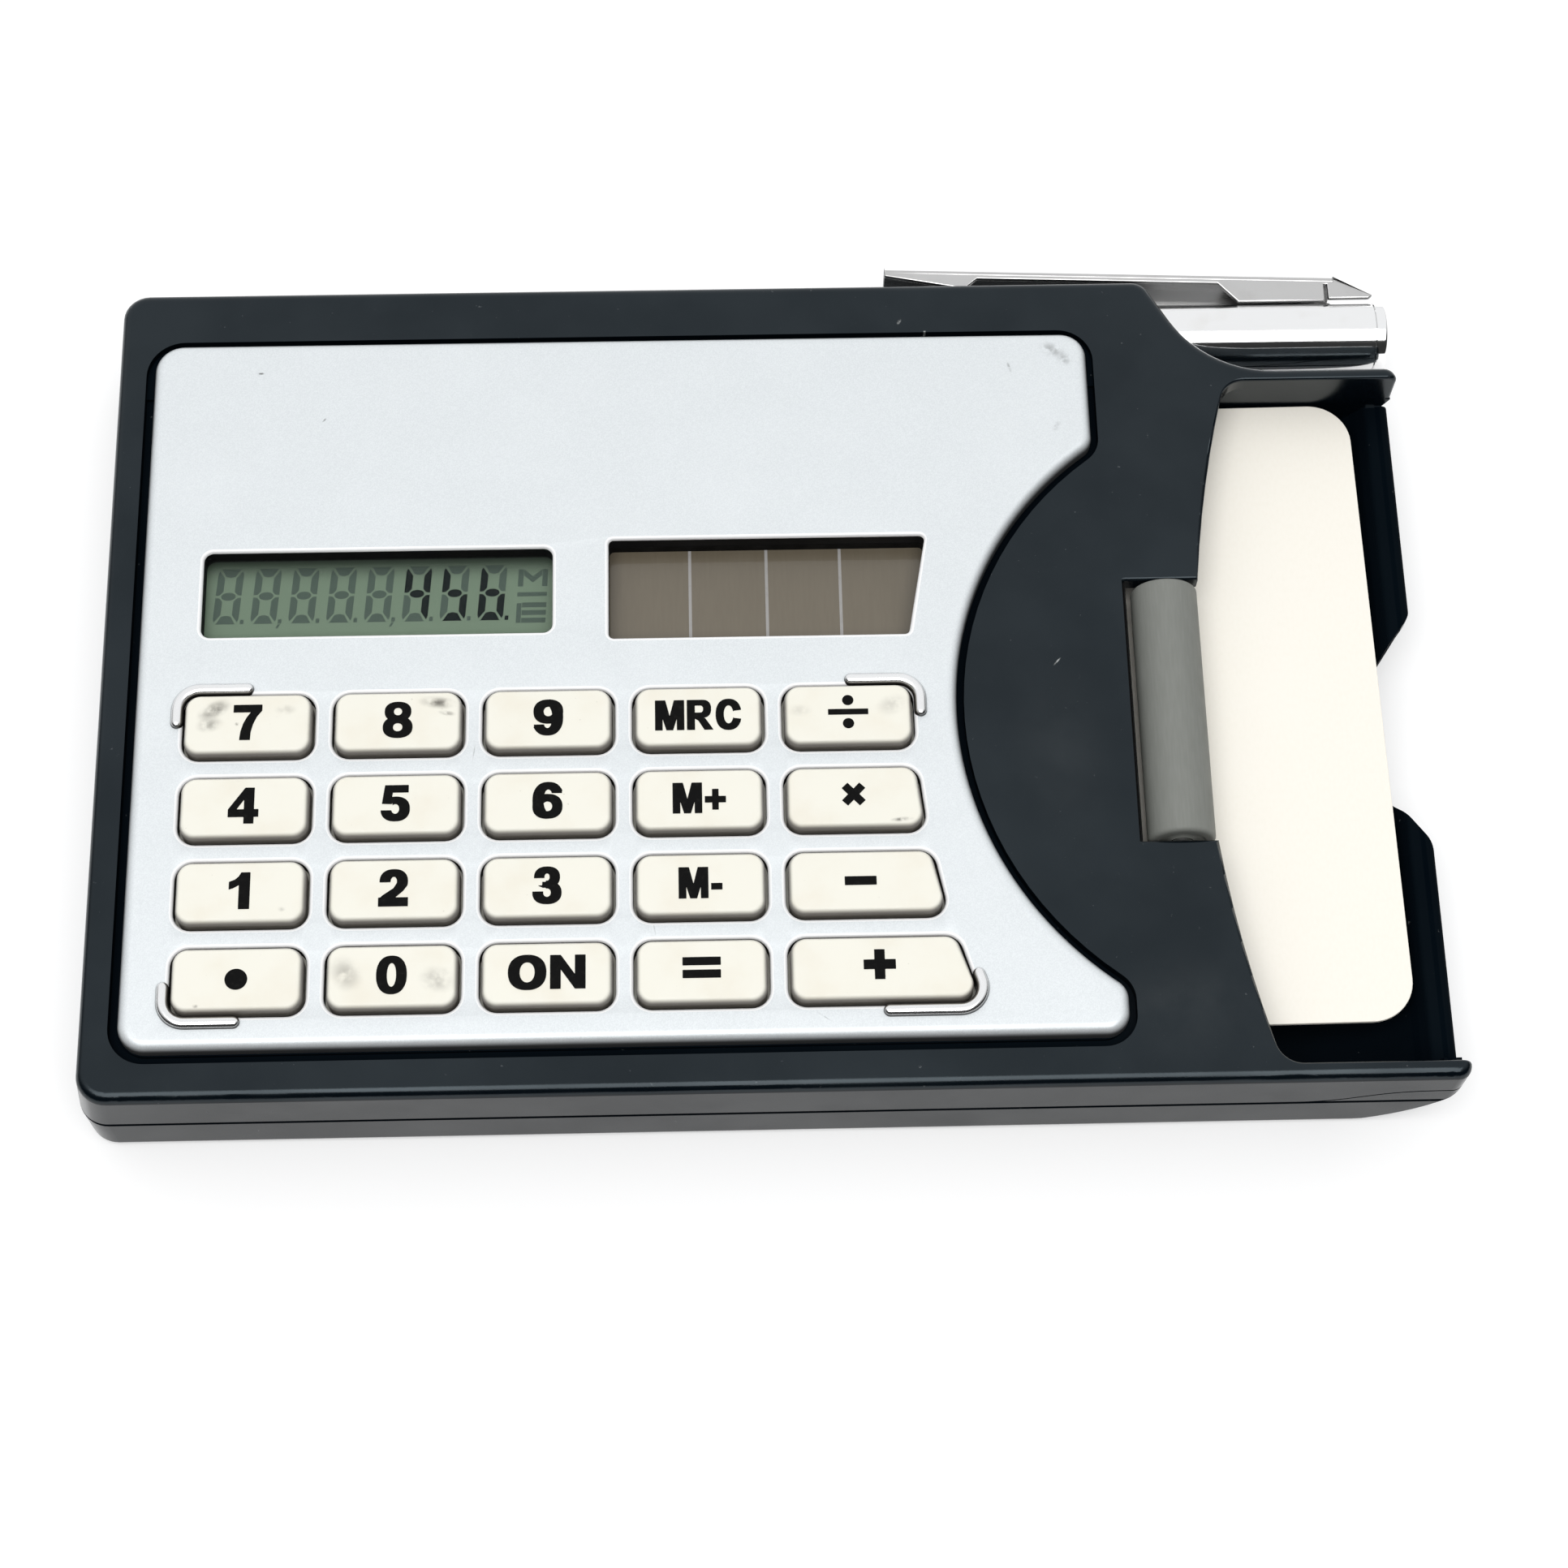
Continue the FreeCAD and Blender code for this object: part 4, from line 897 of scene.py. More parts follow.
SAMPLE_PITCH = 0.0125
SAMPLE_SHIFT = (0.00037, 0.00053)
LEAST_POINTS = 8
LONGEST_RUN = 0.16
LINE_SLACK = 0.0016


def box_field(x0: float, y0: float, x1: float, y1: float) -> Field:
    """Gives the distance field of an upright rectangle, below zero inside.

    Args:
        x0: left.
        y0: bottom.
        x1: right.
        y1: top.

    Returns:
        The field.
    """
    def value(x: np.ndarray, y: np.ndarray) -> np.ndarray:
        """The field at each point.

        Args:
            x: where the samples lie from left to right.
            y: where they lie from low to high.

        Returns:
            The field at each sample.
        """
        across = np.abs(x - (x0 + x1) / 2) - (x1 - x0) / 2
        up = np.abs(y - (y0 + y1) / 2) - (y1 - y0) / 2
        return np.maximum(across, up)
    return value


def oval_field(cx: float, cy: float, rx: float, ry: float, power: float = 2.3) -> Field:
    """Gives the field of an oval, a little squarer than an ellipse.

    Args:
        cx: centre across.
        cy: centre up.
        rx: half width.
        ry: half height.
        power: 2 for an ellipse, more for squarer.

    Returns:
        The field.
    """
    def value(x: np.ndarray, y: np.ndarray) -> np.ndarray:
        """The field at each point."""
        reach = (np.abs((x - cx) / rx) ** power + np.abs((y - cy) / ry) ** power) ** (1 / power)
        return (reach - 1.0) * min(rx, ry)
    return value


def polygon_field(points: Sequence[Point]) -> Field:
    """Gives the distance field of a polygon.

    Args:
        points: its corners.

    Returns:
        The field.
    """
    def value(x: np.ndarray, y: np.ndarray) -> np.ndarray:
        """The field at each point.

        Args:
            x: where the samples lie from left to right.
            y: where they lie from low to high.

        Returns:
            The field at each sample.
        """
        inside = np.zeros(x.shape, bool)
        near = np.full(x.shape, 9.0)
        for (ax, ay), (bx, by) in zip(points, list(points[1:]) + [points[0]]):
            share = ((x - ax) * (bx - ax) + (y - ay) * (by - ay)) / ((bx - ax) ** 2 + (by - ay) ** 2)
            share = np.clip(share, 0.0, 1.0)
            near = np.minimum(near, np.hypot(x - ax - share * (bx - ax), y - ay - share * (by - ay)))
            crosses = (ay > y) != (by > y)
            if ay != by:
                inside ^= crosses & (x < ax + (y - ay) * (bx - ax) / (by - ay))
        return np.where(inside, -near, near)
    return value


def both(*fields: Field) -> Field:
    """Joins fields into one shape."""
    return lambda x, y: np.minimum.reduce([one(x, y) for one in fields])


def without(first: Field, *cuts: Field) -> Field:
    """Cuts shapes out of a field."""
    return lambda x, y: np.maximum.reduce([first(x, y)] + [-cut(x, y) for cut in cuts])


def ring_field(cx: float, cy: float, rx: float, ry: float, wx: float, wy: float) -> Field:
    """Gives an oval ring with strokes of two widths.

    Args:
        cx: centre across.
        cy: centre up.
        rx: half width.
        ry: half height.
        wx: width of the upright strokes.
        wy: width of the level strokes.

    Returns:
        The field.
    """
    return without(oval_field(cx, cy, rx, ry), oval_field(cx, cy, rx - wx, ry - wy, 2.1))


def turned(shape: Field, cx: float, cy: float) -> Field:
    """Turns a field half a turn about a point."""
    return lambda x, y: shape(2 * cx - x, 2 * cy - y)


SIX = both(
    ring_field(0.38, 0.335, 0.38, 0.345, 0.26, 0.21),
    without(ring_field(0.40, 0.5, 0.40, 0.515, 0.28, 0.21), box_field(0.34, -0.2, 1.0, 0.76)),
    without(ring_field(0.40, 0.66, 0.35, 0.355, 0.26, 0.20), box_field(-0.2, -0.2, 1.0, 0.70)),
)
LETTER_M = both(
    box_field(0.0, 0.0, 0.245, 1.0),
    box_field(0.705, 0.0, 0.95, 1.0),
    polygon_field([
        (0.05, 1.0), (0.335, 1.0), (0.475, 0.47), (0.615, 1.0), (0.90, 1.0), (0.585, 0.0), (0.365, 0.0)]),
)
GLYPHS: dict[str, tuple[Field, float]] = {
    "0": (ring_field(0.38, 0.5, 0.38, 0.515, 0.265, 0.20), 0.76),
    "1": (polygon_field([
        (0.56, 0.0), (0.56, 1.0), (0.33, 1.0), (0.27, 0.89), (0.17, 0.80), (0.03, 0.745), (0.03, 0.535),
        (0.16, 0.58), (0.28, 0.655), (0.28, 0.0)]), 0.62),
    "2": (both(
        without(
            ring_field(0.38, 0.675, 0.355, 0.34, 0.275, 0.21),
            box_field(-0.2, 0.2, 0.38, 0.66), box_field(-0.2, 0.0, 1.0, 0.60)),
        polygon_field([
            (0.735, 0.66), (0.72, 0.56), (0.62, 0.42), (0.42, 0.24), (0.0, 0.19), (0.10, 0.30), (0.38, 0.50),
            (0.46, 0.64)]),
        box_field(0.0, 0.0, 0.745, 0.245)), 0.76),
    "3": (both(
        without(ring_field(0.37, 0.725, 0.325, 0.29, 0.26, 0.19), box_field(-0.2, 0.50, 0.34, 0.70)),
        without(ring_field(0.37, 0.30, 0.365, 0.315, 0.27, 0.20), box_field(-0.2, 0.335, 0.34, 0.62)),
        box_field(0.25, 0.435, 0.46, 0.595)), 0.75),
    "4": (without(
        polygon_field([
            (0.0, 0.40), (0.42, 1.0), (0.655, 1.0), (0.655, 0.40), (0.77, 0.40), (0.77, 0.185),
            (0.655, 0.185), (0.655, 0.0), (0.40, 0.0), (0.40, 0.185), (0.0, 0.185)]),
        polygon_field([(0.40, 0.40), (0.40, 0.67), (0.215, 0.40)])), 0.78),
    "5": (both(
        box_field(0.12, 0.79, 0.70, 1.0),
        polygon_field([(0.10, 1.0), (0.33, 1.0), (0.27, 0.56), (0.03, 0.475)]),
        without(ring_field(0.37, 0.335, 0.37, 0.345, 0.27, 0.21), box_field(-0.2, 0.30, 0.30, 0.50)),
        polygon_field([(0.05, 0.48), (0.28, 0.47), (0.33, 0.62), (0.15, 0.60)])), 0.76),
    "6": (SIX, 0.77),
    "7": (polygon_field([
        (0.02, 1.0), (0.75, 1.0), (0.75, 0.83), (0.62, 0.66), (0.53, 0.45), (0.475, 0.22), (0.465, 0.0),
        (0.19, 0.0), (0.21, 0.22), (0.27, 0.45), (0.36, 0.64), (0.46, 0.785), (0.02, 0.785)]), 0.76),
    "8": (both(
        ring_field(0.38, 0.735, 0.34, 0.28, 0.235, 0.175),
        ring_field(0.38, 0.29, 0.38, 0.305, 0.26, 0.19)), 0.76),
    "9": (turned(SIX, 0.385, 0.5), 0.77),
    "M": (LETTER_M, 0.95),
    "R": (both(
        box_field(0.0, 0.0, 0.26, 1.0),
        without(
            both(box_field(0.0, 0.40, 0.50, 1.0), oval_field(0.50, 0.70, 0.29, 0.30, 2.4)),
            box_field(0.26, 0.575, 0.43, 0.81), oval_field(0.43, 0.6925, 0.10, 0.1175)),
        polygon_field([
            (0.26, 0.42), (0.48, 0.43), (0.60, 0.38), (0.86, 0.0), (0.565, 0.0), (0.37, 0.31),
            (0.26, 0.37)])), 0.85),
    "C": (without(
        ring_field(0.42, 0.5, 0.42, 0.52, 0.265, 0.22),
        polygon_field([(0.46, 0.50), (0.60, 0.62), (1.0, 0.66), (1.0, 0.33), (0.60, 0.375)])), 0.83),
    "O": (ring_field(0.45, 0.5, 0.45, 0.52, 0.275, 0.225), 0.90),
    "N": (both(
        box_field(0.0, 0.0, 0.25, 1.0), box_field(0.58, 0.0, 0.83, 1.0),
        polygon_field([(0.0, 1.0), (0.25, 1.0), (0.83, 0.0), (0.58, 0.0)])), 0.83),
    "+": (both(box_field(0.0, 0.34, 0.68, 0.55), box_field(0.235, 0.105, 0.445, 0.785)), 0.68),
    "-": (box_field(0.0, 0.27, 0.36, 0.48), 0.36),
    "plus": (both(box_field(0.0, 0.42, 0.80, 0.68), box_field(0.27, 0.15, 0.53, 0.95)), 0.80),
    "minus": (box_field(0.0, 0.36, 0.80, 0.60), 0.80),
    "=": (both(box_field(0.0, 0.61, 0.95, 0.83), box_field(0.0, 0.27, 0.95, 0.49)), 0.95),
    "divide": (both(
        box_field(0.0, 0.44, 1.03, 0.60), oval_field(0.515, 0.85, 0.145, 0.145, 2.0),
        oval_field(0.515, 0.19, 0.145, 0.145, 2.0)), 1.03),
    "times": (both(
        polygon_field([(0.0, 0.70), (0.15, 0.85), (0.60, 0.36), (0.45, 0.21)]),
        polygon_field([(0.45, 0.85), (0.60, 0.70), (0.15, 0.21), (0.0, 0.36)])), 0.60),
    "dot": (oval_field(0.28, 0.46, 0.28, 0.28, 2.0), 0.56),
}


def contour(shape: Field, width: float) -> list[list[Point]]:
    """Traces the edge of a field.

    Args:
        shape: the field.
        width: how far the shape reaches to the right.

    Returns:
        Closed outlines, outer ones and holes alike.
    """
    pitch = SAMPLE_PITCH
    xs = np.arange(-0.05, width + 0.06, pitch) + SAMPLE_SHIFT[0]
    ys = np.arange(-0.06, 1.07, pitch) + SAMPLE_SHIFT[1]
    grid_x, grid_y = np.meshgrid(xs, ys)
    level = shape(grid_x, grid_y)
    level = np.where(level == 0.0, 1e-9, level)
    onward: dict[tuple, tuple] = {}
    spots: dict[tuple, Point] = {}

    def crossing(row: int, column: int, down: int, right: int) -> tuple:
        """Notes where the edge crosses one side of a cell.

        Args:
            row: the row of the sample.
            column: its column.
            down: 1 for a crossing towards the next row.
            right: 1 for a crossing towards the next column.

        Returns:
            The mark under which the crossing is kept.
        """
        first = level[row, column]
        second = level[row + down, column + right]
        share = first / (first - second)
        mark = (row, column, down)
        spots[mark] = (xs[column] + share * right * pitch, ys[row] + share * down * pitch)
        return mark

    turns = {
        1: [("left", "low")], 2: [("low", "right")], 3: [("left", "right")], 4: [("right", "high")],
        5: [("left", "high"), ("right", "low")], 6: [("low", "high")], 7: [("left", "high")],
        8: [("high", "left")], 9: [("high", "low")], 10: [("high", "right"), ("low", "left")],
        11: [("high", "right")], 12: [("right", "left")], 13: [("right", "low")], 14: [("low", "left")],
    }
    inside = level < 0
    cells = inside[:-1, :-1] * 1 + inside[:-1, 1:] * 2 + inside[1:, 1:] * 4 + inside[1:, :-1] * 8
    for row, column in np.argwhere((cells > 0) & (cells < 15)):
        sides = {
            "low": (row, column, 0, 1), "high": (row + 1, column, 0, 1),
            "left": (row, column, 1, 0), "right": (row, column + 1, 1, 0),
        }
        for start, end in turns[int(cells[row, column])]:
            onward[crossing(*sides[start])] = crossing(*sides[end])
    outlines = []
    while onward:
        mark, step = onward.popitem()
        outline = [spots[mark]]
        while step in onward:
            outline.append(spots[step])
            step = onward.pop(step)
        outlines.append(outline)
    return outlines


def plain_outline(points: Sequence[Point]) -> list[Point]:
    """Drops the points of an outline that lie on the line of their neighbours.

    Args:
        points: the outline.

    Returns:
        The shorter outline.
    """
    kept = list(points)
    changed = True
    while changed and len(kept) > LEAST_POINTS:
        changed = False
        index = 0
        while index < len(kept) and len(kept) > LEAST_POINTS:
            before, here, after = kept[index - 1], kept[index], kept[(index + 1) % len(kept)]
            run = math.dist(before, after)
            span_x, span_y = after[0] - before[0], after[1] - before[1]
            area = abs(span_x * (here[1] - before[1]) - span_y * (here[0] - before[0]))
            if run < LONGEST_RUN and area / max(run, 1e-9) < LINE_SLACK:
                del kept[index]
                changed = True
            index += 1
    return kept


def write(sculpt: Sculpt, signs: Sequence[str], centre: Point, height: float, z: float, thick: float,
          gap: float, widen: float, finish: int) -> None:
    """Sets a row of signs as thin raised print.

    Args:
        sculpt: the mesh that takes them.
        signs: the names of the signs.
        centre: the middle of the row in millimetres.
        height: the height of a capital in millimetres.
        z: the level of the underside.
        thick: the thickness of the print.
        gap: the space between signs, as a share of the height.
        widen: the stretch along the row.
        finish: the index of the material.
    """
    total = sum(GLYPHS[sign][1] for sign in signs) + gap * (len(signs) - 1)
    left = -total / 2
    for sign in signs:
        shape, width = GLYPHS[sign]
        tops, bottoms = [], []
        for outline in contour(shape, width):
            spots = [(centre[0] + (left + x) * height * widen, centre[1] + (y - 0.5) * height)
                     for x, y in plain_outline(outline)]
            top = sculpt.ring(spots, z + thick)
            bottom = sculpt.ring(spots, z)
            sculpt.bridge(bottom, top, finish)
            tops.append(top)
            bottoms.append(bottom)
        sculpt.fill(tops, finish)
        sculpt.fill(bottoms, finish)
        left += width + gap


# The calculator


@dataclass
class Plan:
    """The sizes that several sub-assemblies share, in millimetres in the part's frame."""

    right: float = 49.5
    rear: float = 32.8
    bay_rear: float = 23.7
    bay_front: float = -31.5
    face_left: float = -46.5
    face_right: float = 25.35
    face_rear: float = 27.85
    face_front: float = -29.25
    plate_low: float = 10.0
    plate_top: float = 11.3
    key_top: float = 12.0
    scallop_radius: float = 26.8
    scallop_depth: float = 11.3

    @property
    def bay_mid(self) -> float:
        """The line that the roller, the scallop and the thumb notch are centred on."""
        return (self.bay_rear + self.bay_front) / 2

    @property
    def scallop_x(self) -> float:
        """The centre of the scallop."""
        return self.face_right - self.scallop_depth + self.scallop_radius


@dataclass
class Keypad:
    """The twenty keys, their print and the openings that they need."""

    plan: Plan
    left: float = -42.70
    right: float = 10.59
    front: float = -26.70
    gap_x: float = 1.66
    gap_y: float = 1.77
    height: float = 4.81
    corner: float = 1.15
    edge: float = 0.4
    edge_rise: float = 0.7
    arch: float = 65.0
    flange: float = 0.35
    low: float = 8.95
    flange_low: float = 9.25
    flange_top: float = 9.95
    plunger: float = 1.4
    least_corner: float = 0.12
    stem_turn: float = 2.36
    print_thick: float = 0.03
    print_gap: float = 0.085
    print_rise: float = 0.07
    print_size: Point = (2.81, 1.02)
    print_sizes: dict[str, Point] = field(default_factory=lambda: {"M": (2.4, 0.94), "O": (2.55, 1.19)})
    print_shifts: dict[str, float] = field(default_factory=lambda: {"minus": -0.25})
    rows: tuple[tuple[tuple[str, str], ...], ...] = (
        (("key_7", "7"), ("key_8", "8"), ("key_9", "9"), ("key_mrc", "M R C"), ("key_divide", "divide")),
        (("key_4", "4"), ("key_5", "5"), ("key_6", "6"), ("key_m_plus", "M +"), ("key_multiply", "times")),
        (("key_1", "1"), ("key_2", "2"), ("key_3", "3"), ("key_m_minus", "M -"), ("key_minus", "minus")),
        (("key_point", "dot"), ("key_0", "0"), ("key_on", "O N"), ("key_equals", "="), ("key_plus", "plus")),
    )

    @property
    def width(self) -> float:
        """The width of a key of the first four columns."""
        return (self.right - self.left - 4 * self.gap_x) / 5

    @property
    def rear(self) -> float:
        """The rear edge of the first row."""
        return self.front + 4 * self.height + 3 * self.gap_y

    def arch_x(self, y: float) -> float:
        """Gives the right limit of the last column at one y."""
        return self.right + self.arch - math.sqrt(self.arch ** 2 - (y - self.plan.bay_mid) ** 2)

    def corners(self, row: int, column: int, grow: float) -> list[Corner]:
        """Gives the plan of one key.

        Args:
            row: counted from the rear.
            column: counted from the left.
            grow: how much larger than the key.

        Returns:
            The rounded corners.
        """
        y1 = self.rear - row * (self.height + self.gap_y)
        y0 = y1 - self.height
        x0 = self.left + column * (self.width + self.gap_x)
        last = column == 4
        right_rear = self.arch_x(y1) if last else x0 + self.width
        right_front = self.arch_x(y0) if last else x0 + self.width
        radius = max(self.corner + grow, self.least_corner)
        return [
            (x0 - grow, y1 + grow, radius), (right_rear + grow, y1 + grow, radius),
            (right_front + grow, y0 - grow, radius), (x0 - grow, y0 - grow, radius),
        ]

    def cap_mesh(self, row: int, column: int, signs: Sequence[str]) -> Sculpt:
        """Models one key with its flange, plunger and print.

        Args:
            row: counted from the rear.
            column: counted from the left.
            signs: its legend.

        Returns:
            The mesh, the plastic as finish 0 and the print as finish 1.
        """
        sculpt = Sculpt()
        top = self.plan.key_top
        corners = self.corners(row, column, 0.0)
        middle = (sum(c[0] for c in corners) / 4, sum(c[1] for c in corners) / 4)
        count = len(rounded_outline(corners))
        turns = [self.stem_turn - 2 * math.pi * step / count for step in range(count)]
        stem = [(middle[0] + self.plunger * math.cos(turn), middle[1] + self.plunger * math.sin(turn))
                for turn in turns]
        flange = rounded_outline(self.corners(row, column, self.flange))
        rings = [
            sculpt.ring(stem, self.low),
            sculpt.ring(stem, self.flange_low),
            sculpt.ring(flange, self.flange_low),
            sculpt.ring(flange, self.flange_top),
            sculpt.ring(rounded_outline(corners), self.flange_top),
        ]
        for inset, drop in fillet_steps(self.edge, 8, self.edge_rise):
            rings.append(sculpt.ring(rounded_outline(self.corners(row, column, -inset)), top - drop))
        sculpt.loft(rings)
        size, widen = self.print_sizes.get(signs[0], self.print_size)
        spot = (middle[0] + self.print_shifts.get(signs[0], 0.0), middle[1] + self.print_rise)
        write(sculpt, signs, spot, size, top, self.print_thick, self.print_gap, widen, 1)
        return sculpt

    def build(self, plastic: Material, ink: Material) -> None:
        """Builds all keys.

        Args:
            plastic: the finish of the caps.
            ink: the finish of the print.
        """
        for row, keys in enumerate(self.rows):
            for column, (name, legend) in enumerate(keys):
                piece = self.cap_mesh(row, column, legend.split()).piece(name + "_cap", [plastic, ink])
                place(piece, name, "key_cream", name)


@dataclass
class Faceplate:
    """The silver plate with its openings and the four raised corner beads."""

    plan: Plan
    keypad: Keypad
    edge: float = 0.8
    corner_rounds: Sides = (2.2, 2.0, 1.7, 2.0)
    horn_round: float = 1.6
    horn_run: float = 1.3
    scallop_spans: int = 48
    opening_edge: float = 0.26
    clearance: float = 0.2
    lcd: Sides = (-41.93, -15.83, 2.80, 9.80)
    solar: Sides = (-11.63, 10.72, 2.22, 10.38)
    solar_slant: float = 1.5
    window_corner: float = 0.7
    slanted_corner: float = 0.385
    bead_half: float = 0.48
    bead_height: float = 0.45
    bead_gap: float = -0.06
    bead_bend: float = 1.65
    bead_sink: float = 0.1
    bead_crown: float = 0.8
    bead_spans: int = 12
    bead_end_spans: int = 6
    bead_least: float = 0.05
    bead_nudge: float = 0.1
    bead_stretch: float = 1.35
    arm_x: float = 5.1
    long_arm_x: float = 7.3
    arm_y: float = 2.6
    gasket: float = 0.5
    gasket_edge: float = 0.06

    def outline(self, inset: float) -> list[Point]:
        """Gives the plan of the plate at an inset, scallop and all.

        Args:
            inset: how far the edge lies inside.

        Returns:
            The points of the outline.
        """
        plan = self.plan
        left, right = plan.face_left + inset, plan.face_right - inset
        rear, front = plan.face_rear - inset, plan.face_front + inset
        rear_left, rear_right, front_right, front_left = (radius - inset for radius in self.corner_rounds)
        radius = plan.scallop_radius + inset
        half = math.acos((plan.scallop_x - right) / radius)
        turn_y = radius * math.sin(half)
        horn = self.horn_round - inset
        corners: list[Corner] = [
            (left, rear, rear_left), (right, rear, rear_right), (right, plan.bay_mid + turn_y, horn)]
        for step in range(self.scallop_spans + 1):
            turn = (half - self.horn_run / radius) * (1 - 2 * step / self.scallop_spans)
            x, y = plan.scallop_x - radius * math.cos(turn), plan.bay_mid + radius * math.sin(turn)
            corners.append((x, y, 0.0))
        corners.append((right, plan.bay_mid - turn_y, horn))
        corners += [(right, front, front_right), (left, front, front_left)]
        return rounded_outline(corners, 10)

    def window(self, sides: Sides, slant: float, grow: float) -> list[Point]:
        """Gives the plan of a window.

        Args:
            sides: left, right, front and rear.
            slant: how far the rear right corner leans out.
            grow: how much larger.

        Returns:
            The outline.
        """
        radius = self.slanted_corner if slant else self.window_corner
        return pane(sides, grow, radius + grow, slant)

    def openings(self) -> list[Outline]:
        """Lists the openings as outlines by growth.

        Returns:
            The outlines in order.
        """
        found: list[Outline] = []
        for row in range(4):
            for column in range(5):
                found.append(lambda grow, r=row, c=column: rounded_outline(
                    self.keypad.corners(r, c, self.clearance + grow)))
        found.append(lambda grow: self.window(self.lcd, 0.0, grow))
        found.append(lambda grow: self.window(self.solar, self.solar_slant, grow))
        return found

    def plate_mesh(self) -> Sculpt:
        """Models the plate, the paint as finish 0, the dark walls as finish 1 and the rims as finish 2, whose
        near-white paint is a painted highlight.

        Returns:
            The plate's mesh.
        """
        sculpt = Sculpt()
        plan = self.plan
        side = [sculpt.ring(self.outline(0.0), plan.plate_low)]
        for inset, drop in fillet_steps(self.edge, 7):
            side.append(sculpt.ring(self.outline(inset), plan.plate_top - drop))
        sculpt.wrap(side)
        tops, lows = [side[-1]], [side[0]]
        for outline in self.openings():
            rings = []
            for inset, drop in reversed(fillet_steps(self.opening_edge, 4)):
                rings.append(sculpt.ring(outline(inset), plan.plate_top - drop))
            low = sculpt.ring(outline(0.0), plan.plate_low)
            sculpt.wrap(rings, 2)
            sculpt.bridge(rings[-1], low, 1)
            tops.append(rings[0])
            lows.append(low)
        sculpt.fill(tops)
        sculpt.fill(lows, 1)
        return sculpt

    def gasket_mesh(self, sides: Sides, slant: float, low: float, high: float) -> Sculpt:
        """Models the dark frame between a window and the panel below it.

        Args:
            sides: the window's left, right, front and rear.
            slant: how far its rear right corner leans out.
            low: the level of the panel.
            high: the top of the frame.

        Returns:
            The mesh.
        """
        sculpt = Sculpt()
        inner, outer = self.window(sides, slant, 0.0), self.window(sides, slant, self.gasket)
        soft = self.window(sides, slant, self.gasket_edge)
        rings = [sculpt.ring(inner, low), sculpt.ring(inner, high - self.gasket_edge),
                 sculpt.ring(soft, high), sculpt.ring(outer, high), sculpt.ring(outer, low)]
        sculpt.wrap(rings + rings[:1])
        return sculpt

    def bead_path(self, corner: Point, arm: float, up: int, slant: float) -> list[Point]:
        """Gives the middle line of one corner bead.

        Args:
            corner: its sharp corner.
            arm: the length of its level arm, below 0 towards the left.
            up: the way of its upright arm.
            slant: the lean of the upright arm.

        Returns:
            The points of the line.
        """
        x, y = corner
        level = (x + arm, y)
        upright = (x + slant * up * self.arm_y, y + up * self.arm_y)
        to_level = (Vector(level) - Vector(corner)).normalized()
        to_upright = (Vector(upright) - Vector(corner)).normalized()
        half = to_level.angle(to_upright) / 2
        reach = self.bead_bend / math.tan(half)
        centre = Vector(corner) + (to_level + to_upright).normalized() * (self.bead_bend / math.sin(half))
        start = Vector(corner) + to_level * reach - centre
        sweep = start.angle_signed(Vector(corner) + to_upright * reach - centre)
        path = [level]
        for step in range(self.bead_spans + 1):
            spoke = start.copy()
            spoke.rotate(Matrix.Rotation(-sweep * step / self.bead_spans, 2))
            path.append(tuple(centre + spoke))
        path.append(upright)
        return path

    def bead_mesh(self, path: Sequence[Point]) -> Sculpt:
        """Models one bead with round ends, standing a little in the plate.

        Args:
            path: the points of the middle line.

        Returns:
            The bead's mesh.
        """
        sculpt = Sculpt()
        spots = [Vector(point) for point in path]
        stations: list[tuple[Vector, Vector, float]] = []
        first = (spots[0] - spots[1]).normalized()
        last = (spots[-1] - spots[-2]).normalized()
        for step in range(self.bead_end_spans):
            turn = math.pi / 2 * (1 - step / self.bead_end_spans)
            spot = spots[0] + first * self.bead_half * math.sin(turn)
            stations.append((spot, first, max(math.cos(turn), self.bead_least)))
        for index, spot in enumerate(spots):
            before = spots[max(index - 1, 0)]
            after = spots[min(index + 1, len(spots) - 1)]
            stations.append((spot, (before - after).normalized(), 1.0))
        for step in range(1, self.bead_end_spans + 1):
            turn = math.pi / 2 * step / self.bead_end_spans
            spot = spots[-1] + last * self.bead_half * math.sin(turn)
            stations.append((spot, -last, max(math.cos(turn), self.bead_least)))
        rings = []
        base = self.plan.plate_top - self.bead_sink
        for spot, ahead, share in stations:
            across = Vector((-ahead.y, ahead.x))
            ring = []
            for step in range(self.bead_spans + 1):
                turn = math.pi * step / self.bead_spans
                point = spot + across * (self.bead_half * share * math.cos(turn))
                crown = math.sin(turn) ** self.bead_crown * math.sqrt(share)
                ring.append((point.x, point.y, base + (self.bead_height + self.bead_sink) * crown))
            rings.append(sculpt.loop(ring))
        sculpt.loft(rings)
        return sculpt

